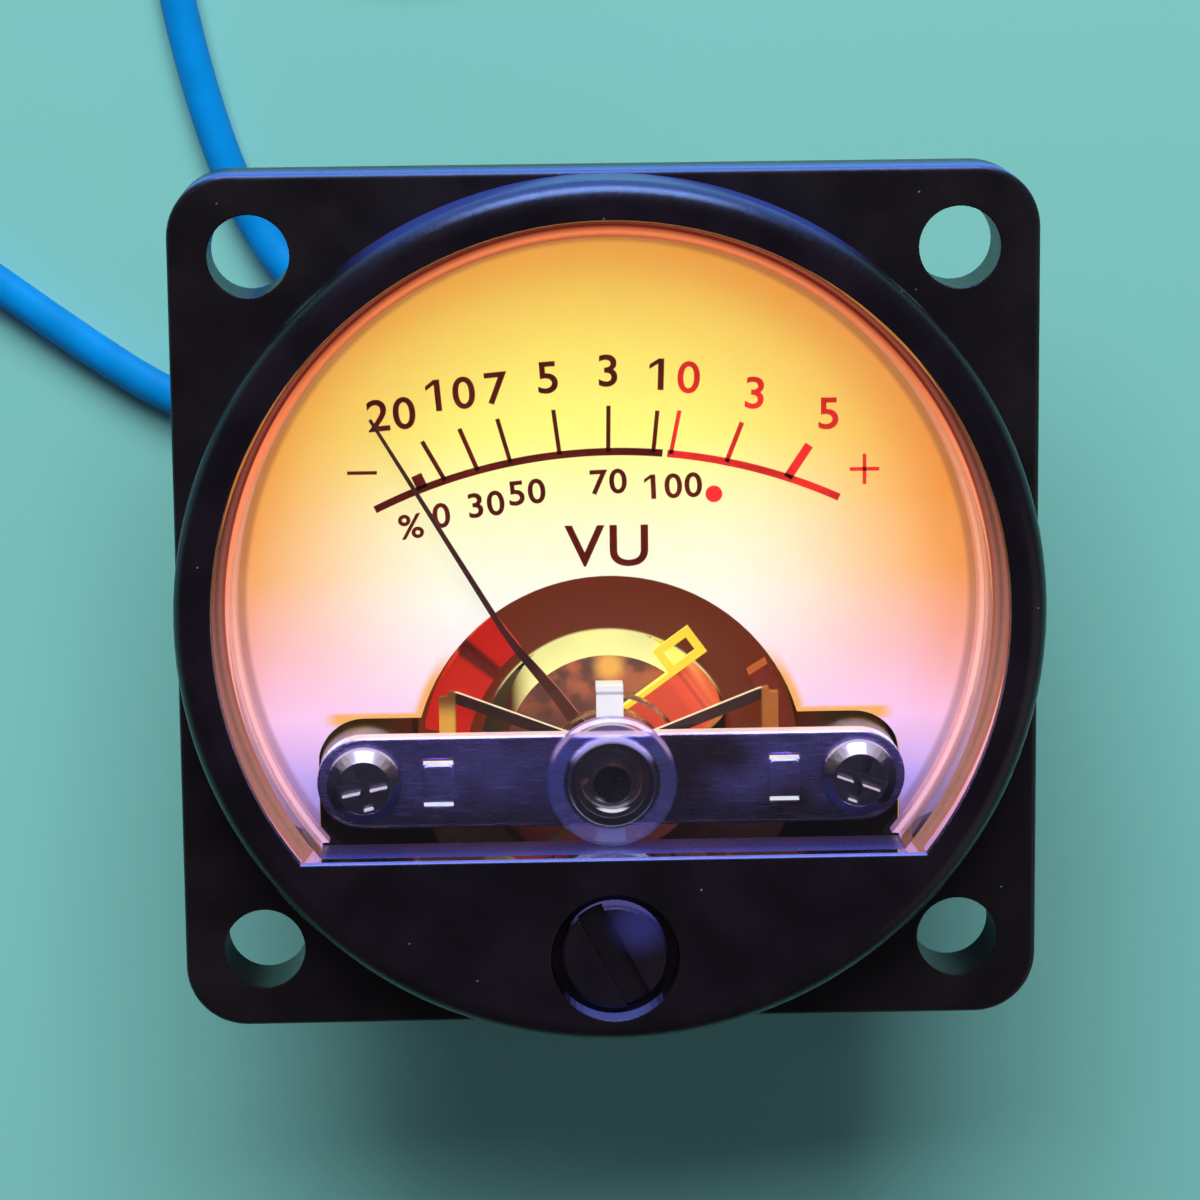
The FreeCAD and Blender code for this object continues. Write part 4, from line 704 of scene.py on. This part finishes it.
def yoke_glow(tree, split):
    """Painted light: a face dark below the pivot and warm brown above it, and a bore whose upper half is
    lit.
    """
    lit = both(tree, between(tree, near_pivot(tree, split), *YOKE_BORE),
               between(tree, split[1], *YOKE_BORE_LIT))
    face = mix_colour(tree, lit_half(tree, split), shown(16, 7, 9), shown(106, 40, 14))
    return mix_colour(tree, lit, face, shown(248, 246, 160))


def core_glow(tree, split):
    """Painted light: a dull brown face with warm patches on its upper part and a glare, and a wall in the
    gap that the lamp lights yellow.
    """
    warm = both(tree, between(tree, patches(tree, 0.9, 3.0), *CORE_PATCH),
                between(tree, split[1], *CORE_WARM))
    face = mix_colour(tree, warm, shown(70, 28, 22), shown(176, 86, 42))
    glare = between(tree, distance_to(tree, split, *CORE_GLARE), *CORE_GLARE_FADE)
    face = mix_colour(tree, glare, face, shown(250, 180, 70))
    wall = both(tree, between(tree, split[2], *CORE_WALL), between(tree, split[1], *CORE_WALL_LIT))
    return mix_colour(tree, wall, face, shown(252, 246, 160))


def retainer_glow(tree, split):
    """Painted light: bright red on the left, lighter on walls facing the lamp, with a painted shadow line;
    on the right it lies in the movement's shade, and below the pivot it is dark.
    """
    left = mix_colour(tree, lamp_side(tree), shown(196, 28, 18), shown(248, 92, 52))
    turn = calc(tree, "ARCTAN2", split[0], calc(tree, "SUBTRACT", split[1], PIVOT_Y))
    left = mix_colour(tree, band(tree, turn, *RETAINER_LINE, RETAINER_LINE_SOFT), left, shown(70, 20, 14))
    right = mix_colour(tree, lamp_side(tree), shown(96, 36, 24), shown(190, 96, 50))
    sided = mix_colour(tree, between(tree, split[0], *RETAINER_SIDES), left, right)
    return mix_colour(tree, lit_half(tree, split), shown(24, 9, 10), sided)


def winding_glow(tree, split):
    """Painted light on the red wire, turn beside turn, lighter on its lamp side and dark below the pivot."""
    turns = calc(tree, "PINGPONG", calc(tree, "MULTIPLY", split[2], WINDING_TURNS), 0.5)
    red = mix_colour(tree, between(tree, turns, *WINDING_TURN_FADE), shown(150, 36, 28), shown(216, 66, 44))
    lit = mix_colour(tree, lamp_side(tree, 0.2, 0.8), red, shown(250, 120, 70))
    return mix_colour(tree, lit_half(tree, split), shown(30, 10, 10), lit)


def former_glow(tree, split):
    """Painted light: bright yellow on the flange that stands out to the lamp, dimmer red brown on the other,
    and dark below the pivot.
    """
    turn = math.radians(COIL_AXIS_TURN)
    along = calc(tree, "MULTIPLY", calc(tree, "SUBTRACT", split[1], PIVOT_Y), math.sin(turn))
    across = calc(tree, "SUBTRACT", along, calc(tree, "MULTIPLY", split[0], math.cos(turn)))
    yellow = mix_colour(tree, lamp_side(tree, 0.2, 0.8), shown(238, 204, 28), shown(255, 246, 110))
    toned = mix_colour(tree, between(tree, across, *FORMER_LIT), shown(150, 50, 30), yellow)
    return mix_colour(tree, lit_half(tree, split), shown(24, 12, 8), toned)


def bar_glow(tree, split):
    """Its upper wall, and the slits' walls, catch the dial's light."""
    lit = mix_colour(tree, between(tree, split[1], *BAR_LIT), shown(250, 218, 206), shown(226, 236, 248))
    return mix_colour(tree, lamp_side(tree), NO_LIGHT, lit)


def bar_tone(tree, split, colour):
    """The bar darkens towards its lower edge, with brown patches."""
    brown = mix_colour(tree, between(tree, patches(tree, 0.28, 1.0), *BAR_PATCH), colour, (0.1, 0.07, 0.12))
    return mix_colour(tree, between(tree, split[1], *BAR_DARK), brown, (0.05, 0.04, 0.07))


def strap_glow(tree, split):
    """Painted light: a thin bright line along each arm's upper wall over dark faces, and warm lit legs."""
    leg = between(tree, calc(tree, "ABSOLUTE", split[0]), *STRAP_LEG)
    arm = mix_colour(tree, lamp_side(tree, 0.1, 0.6), shown(40, 20, 16), shown(255, 238, 190))
    warm = mix_colour(tree, between(tree, split[1], *STRAP_LEG_LIT), shown(120, 70, 30), shown(232, 168, 70))
    shaded = mix_colour(tree, between(tree, split[0], *STRAP_RIGHT), warm, shown(178, 104, 46))
    return mix_colour(tree, leg, arm, shaded)


def pointer_glow(tree, split):
    """Painted light: a faint dark red glow on the needle against the lit dial, and a bronze glow on the root
    inside the dial's cut-out, lighter on its lamp side.
    """
    root = mix_colour(tree, lamp_side(tree, 0.2, 0.7), shown(74, 36, 24), shown(190, 132, 84))
    return mix_colour(tree, between(tree, near_pivot(tree, split), *POINTER_ROOT), shown(44, 9, 8), root)


def lever_glow(tree, split):
    """Painted highlight on the tab: pale, warm at its upper end, with painted shade in a line at its bend,
    and none below its foot.
    """
    white = mix_colour(tree, between(tree, split[1], *TAB_HEAD), shown(186, 182, 180), shown(214, 196, 140))
    lit = mix_colour(tree, band(tree, split[1], *TAB_BEND, TAB_BEND_SOFT), white, shown(70, 56, 84))
    return mix_colour(tree, between(tree, split[1], *TAB_FOOT), NO_LIGHT, lit)


def screw_glow(tree, _):
    """The slope of each head that faces up the dial is lit pale."""
    return mix_colour(tree, lamp_side(tree, 0.35, 0.75), NO_LIGHT, shown(206, 190, 206))


def holder_glow(tree, split):
    """Violet rings where the clear disc bends the light, and a pale glint below its middle."""
    near = near_pivot(tree, split)
    upper = between(tree, split[1], *HOLDER_UPPER)
    step = both(tree, band(tree, near, *HOLDER_STEP), upper)
    rim = both(tree, band(tree, near, *HOLDER_RIM), upper)
    glint = both(tree, band(tree, near, *HOLDER_GLINT, HOLDER_GLINT_SOFT),
                 between(tree, split[1], *HOLDER_LOWER))
    body = mix_colour(tree, band(tree, near, *HOLDER_BODY), shown(14, 13, 24), shown(42, 42, 82))
    ringed = mix_colour(tree, rim, body, shown(168, 136, 176))
    stepped = mix_colour(tree, step, ringed, shown(170, 162, 226))
    return mix_colour(tree, glint, stepped, shown(226, 234, 252))


def holder_tone(tree, split, colour):
    """The ring's middle is dark, because the light is bent away from there."""
    middle = between(tree, near_pivot(tree, split), *HOLDER_MIDDLE)
    return mix_colour(tree, middle, colour, (0.16, 0.15, 0.2))


def zero_glow(tree, split):
    """Blue light on the half of the head that is nearer the window, and on its upper edges."""
    near = distance_to(tree, split, *ZERO_SPOT)
    soft = mix_colour(tree, between(tree, near, *ZERO_FADE), NO_LIGHT, shown(38, 38, 96))
    return mix_colour(tree, lamp_side(tree, 0.5, 0.9), soft, shown(74, 70, 128))


def top_glow(tree, split):
    """Blue daylight on the flange's upper wall, strongest at its front face."""
    wall = both(tree, lamp_side(tree, 0.6, 0.98), between(tree, split[1], *TOP_WALL))
    return mix_colour(tree, both(tree, wall, between(tree, split[2], *TOP_WALL_FACE)), NO_LIGHT,
                      shown(62, 96, 214))


def shelf_glow(tree, split):
    """Blue light on the bezel: the wall under the window, the zero screw's recess, the top of the ring."""
    wall = both(tree, lamp_side(tree, 0.7, 0.95), band(tree, split[1], *SHELF))
    blue = ramp(tree, between_linear(tree, split[2], *SHELF_SPAN), SHELF_BLUE)
    lit = mix_colour(tree, wall, NO_LIGHT, blue)
    recess = both(tree, lamp_side(tree, 0.6, 0.98),
                  band(tree, distance_to(tree, split, 0.0, ZERO_Y), *RECESS_WALL))
    lit = mix_colour(tree, recess, lit, shown(64, 72, 140))
    shoulder = both(tree, lamp_side(tree, 0.5, 0.95), between(tree, split[1], *SHOULDER))
    return mix_colour(tree, shoulder, lit, shown(40, 58, 138))


def clear_material(name, tint, roughness=0.03, ior=1.49, glow=None, tone=None):
    """Clear plastic or glass that lets the lamps through to what is behind it."""
    material, tree, shader = new_material(name)
    place, split = place_mm(tree)
    if glow:
        link(tree, glow(tree, split), shader.inputs["Emission Color"])
        shader.inputs["Emission Strength"].default_value = 1.0
    haze = add(tree, "ShaderNodeTexNoise", Scale=0.8, Detail=3.0)
    link(tree, place, haze.inputs["Vector"])
    toned = mix_colour(tree, haze.outputs["Fac"], tuple(c * 0.96 for c in tint), tint)
    if tone:
        toned = tone(tree, split, toned)
    link(tree, toned, shader.inputs["Base Color"])
    shader.inputs["Roughness"].default_value = roughness
    shader.inputs["Transmission Weight"].default_value = 1.0
    shader.inputs["IOR"].default_value = ior
    path = tree.nodes.new("ShaderNodeLightPath")
    through = add(tree, "ShaderNodeBsdfTransparent", Color=(*tint, 1.0))
    mixed = tree.nodes.new("ShaderNodeMixShader")
    link(tree, path.outputs["Is Shadow Ray"], mixed.inputs[0])
    link(tree, shader.outputs[0], mixed.inputs[1])
    link(tree, through.outputs[0], mixed.inputs[2])
    link(tree, mixed.outputs[0], tree.nodes["Material Output"].inputs["Surface"])
    return material


# Materials of the case, the window and the dial
# DUST is the size, the share and the colour of the specks.

# The faint violet blue in the black of the bezel and the zero screw is a painted reflection of bluish light.
BLACK_WITH_PAINTED_BLUE = (0.0075, 0.005, 0.0095)
DUST = (0.9, 0.06, (0.16, 0.17, 0.26))
dress(finish_surface("case_plastic", (0.009, 0.007, 0.009), roughness=0.36, grain_mm=0.22, bump=0.18,
                     variation=0.3, specks=DUST, edge_mm=0.15, glow=top_glow, specular=0.35), "rear_case")
dress(finish_surface("bezel_plastic", BLACK_WITH_PAINTED_BLUE, roughness=0.3, grain_mm=0.25, bump=0.12, variation=0.3,
                     specks=DUST, edge_mm=0.12, glow=shelf_glow, specular=0.35), "front_bezel")
dress(finish_surface("screw_plastic", BLACK_WITH_PAINTED_BLUE, roughness=0.33, grain_mm=0.25, bump=0.15, variation=0.3,
                     edge_mm=0.1, glow=zero_glow), "zero_adjust_screw")
dress(clear_material("window", (0.985, 0.985, 0.99)), "window_lens")
dress(clear_material("clear_plastic", (0.7, 0.69, 0.86), roughness=0.16, glow=holder_glow,
                     tone=holder_tone), "front_bearing_holder")
dress(dial_material(), "dial_plate")
# The amber film and the ring round the dial glow with painted lamp light.
dress(glow_surface("amber_film", (0.9, 0.4, 0.08), shown(255, 190, 60), strength=0.9), "dial_filter")
dress(glow_surface("amber_ring", (0.5, 0.25, 0.15), ring_glow, strength=0.7, roughness=0.25), "light_ring")

# Materials of the movement; their glows are painted lamp light and shade

dress(glow_surface("red_plastic", (0.07, 0.008, 0.004), retainer_glow, roughness=0.3), "yoke_retainers")
dress(glow_surface("soft_iron", (0.03, 0.012, 0.008), yoke_glow, roughness=0.5), "yoke_ring")
dress(glow_surface("magnet", (0.1, 0.06, 0.05), core_glow, metallic=0.3), "core_magnet")
dress(glow_surface("former_metal", (0.3, 0.22, 0.05), former_glow, roughness=0.3, metallic=0.3),
      "coil_former")
dress(glow_surface("copper_wire", (0.2, 0.04, 0.02), winding_glow), "coil_winding")
# The bar's dark steel is coloured violet blue, a painted reflection of bluish light on it.
dress(finish_surface("bridge_metal", (0.24, 0.2, 0.56), metallic=1.0, roughness=0.26, grain_mm=0.2,
                     bump=0.08, stretch=(0.15, 1.6, 1), edge_mm=0.1, glow=bar_glow, tone=bar_tone),
      "front_bridge")
# The screws' blackened steel has a faint blue, also a painted reflection of bluish light.
dress(finish_surface("screw_steel", (0.16, 0.15, 0.22), metallic=1.0, roughness=0.2, grain_mm=0.3, bump=0.08,
                     edge_mm=0.08, glow=screw_glow), "bridge_screws")
dress(finish_surface("front_jewel", (0.05, 0.05, 0.08), metallic=1.0, roughness=0.25, edge_mm=0.05),
      "front_jewel_screw")
dress(finish_surface("jewel_brass", (0.6, 0.5, 0.34), metallic=1.0, roughness=0.25, edge_mm=0.05),
      "rear_jewel_screw", "balance_weights")
dress(finish_surface("strap_metal", (0.1, 0.07, 0.06), metallic=1.0, roughness=0.2, stretch=(0.3, 1, 1),
                     edge_mm=0.05, glow=strap_glow), "front_strap")
dress(finish_surface("lever_metal", (0.3, 0.29, 0.3), metallic=0.2, roughness=0.4, edge_mm=0.05,
                     glow=lever_glow), "zero_lever")
dress(finish_surface("spring_bronze", (0.7, 0.45, 0.22), metallic=1.0, roughness=0.28),
      "front_hairspring", "rear_hairspring")
dress(finish_surface("bridge_brass", (0.72, 0.52, 0.24), metallic=1.0, roughness=0.3, stretch=(1, 0.2, 1)),
      "core_bridge", "rear_spring_anchor")
dress(finish_surface("frame_alloy", (0.45, 0.45, 0.47), metallic=1.0, roughness=0.5, bump=0.2),
      "movement_frame")
dress(finish_surface("pivot_steel", (0.5, 0.5, 0.52), metallic=1.0, roughness=0.2),
      "front_pivot", "rear_pivot")
dress(finish_surface("pointer_paint", (0.018, 0.006, 0.005), roughness=0.6, grain_mm=0.1, bump=0.1,
                     glow=pointer_glow, specular=0.15), "pointer")

# Materials of the lamp and of what shows behind

dress(clear_material("lamp_glass", (0.98, 0.93, 0.84), roughness=0.02), "lamp_bulb")
dress(finish_surface("chassis_steel", (0.4, 0.4, 0.42), metallic=1.0, roughness=0.25, grain_mm=0.3,
                     bump=0.08, edge_mm=0.08), "chassis_screws")
dress(finish_surface("lamp_rubber", (0.02, 0.02, 0.02), roughness=0.7, bump=0.3), "lamp_holder")
dress(finish_surface("lamp_wire", (0.6, 0.55, 0.5), metallic=1.0, roughness=0.3), "lamp_filament")
dress(finish_surface("tag_tin", (0.62, 0.58, 0.5), metallic=0.85, roughness=0.42, edge_mm=0.08),
      "signal_tags", "lamp_tags")
dress(finish_surface("solder", (0.6, 0.6, 0.6), metallic=1.0, roughness=0.35, grain_mm=0.6, bump=0.3),
      "lamp_solder", "lamp_lead_a_end", "lamp_lead_b_end")
dress(finish_surface("tie_plastic", (0.75, 0.75, 0.73), roughness=0.5), "coil_ties")


# Floor, light and world
# Lengths here are in metres.

FLOOR_COLOUR = shown(136, 214, 210)
FLOOR_REACH = 1.5
CLOUD_SCALE = 0.02
WORLD_COLOUR = (0.85, 0.75, 0.9)
WORLD_STRENGTH = 0.08
AIM = (0.0, 0.0, 0.02)


def make_floor():
    data = bpy.data.meshes.new("floor")
    mesh = bmesh.new()
    bmesh.ops.create_grid(mesh, x_segments=1, y_segments=1, size=FLOOR_REACH)
    mesh.to_mesh(data)
    mesh.free()
    floor = bpy.data.objects.new("floor", data)
    bpy.context.scene.collection.objects.link(floor)
    material, tree, shader = new_material("floor")
    place, _ = place_mm(tree)
    cloud = add(tree, "ShaderNodeTexNoise", Scale=CLOUD_SCALE, Detail=3.0)
    link(tree, place, cloud.inputs["Vector"])
    link(tree, mix_colour(tree, cloud.outputs["Fac"], tuple(c * 0.95 for c in FLOOR_COLOUR), FLOOR_COLOUR),
         shader.inputs["Base Color"])
    shader.inputs["Roughness"].default_value = 0.7
    shader.inputs["Specular IOR Level"].default_value = 0.1
    data.materials.append(material)


def make_area_light(name, power, size, place, colour, gloss=True, matt=True):
    """A soft lamp; one without gloss isn't mirrored, and one without matt only gives sheen."""
    data = bpy.data.lights.new(name, "AREA")
    data.energy = power
    data.size = size
    data.color = colour
    lamp = bpy.data.objects.new(name, data)
    bpy.context.scene.collection.objects.link(lamp)
    lamp.location = place
    lamp.visible_glossy = gloss
    lamp.visible_diffuse = matt
    lamp.rotation_mode = "QUATERNION"
    lamp.rotation_quaternion = (Vector(AIM) - Vector(place)).to_track_quat("-Z", "Y")


def make_world():
    world = bpy.data.worlds.new("world")
    bpy.context.scene.world = world
    world.use_nodes = True
    background = world.node_tree.nodes["Background"]
    background.inputs["Color"].default_value = (*WORLD_COLOUR, 1.0)
    background.inputs["Strength"].default_value = WORLD_STRENGTH


make_floor()
make_world()
make_area_light("key", 2.5, 0.3, (-0.03, 0.32, 0.34), (0.98, 0.98, 0.96), gloss=False)
make_area_light("rim", 5.0, 0.24, (0.0, 0.34, 0.06), (0.26, 0.42, 1.0), matt=False)
make_area_light("fill", 0.2, 0.4, (0.40, -0.20, 0.25), (1.0, 0.98, 0.96))

scene = bpy.context.scene
scene.view_settings.view_transform = "Standard"
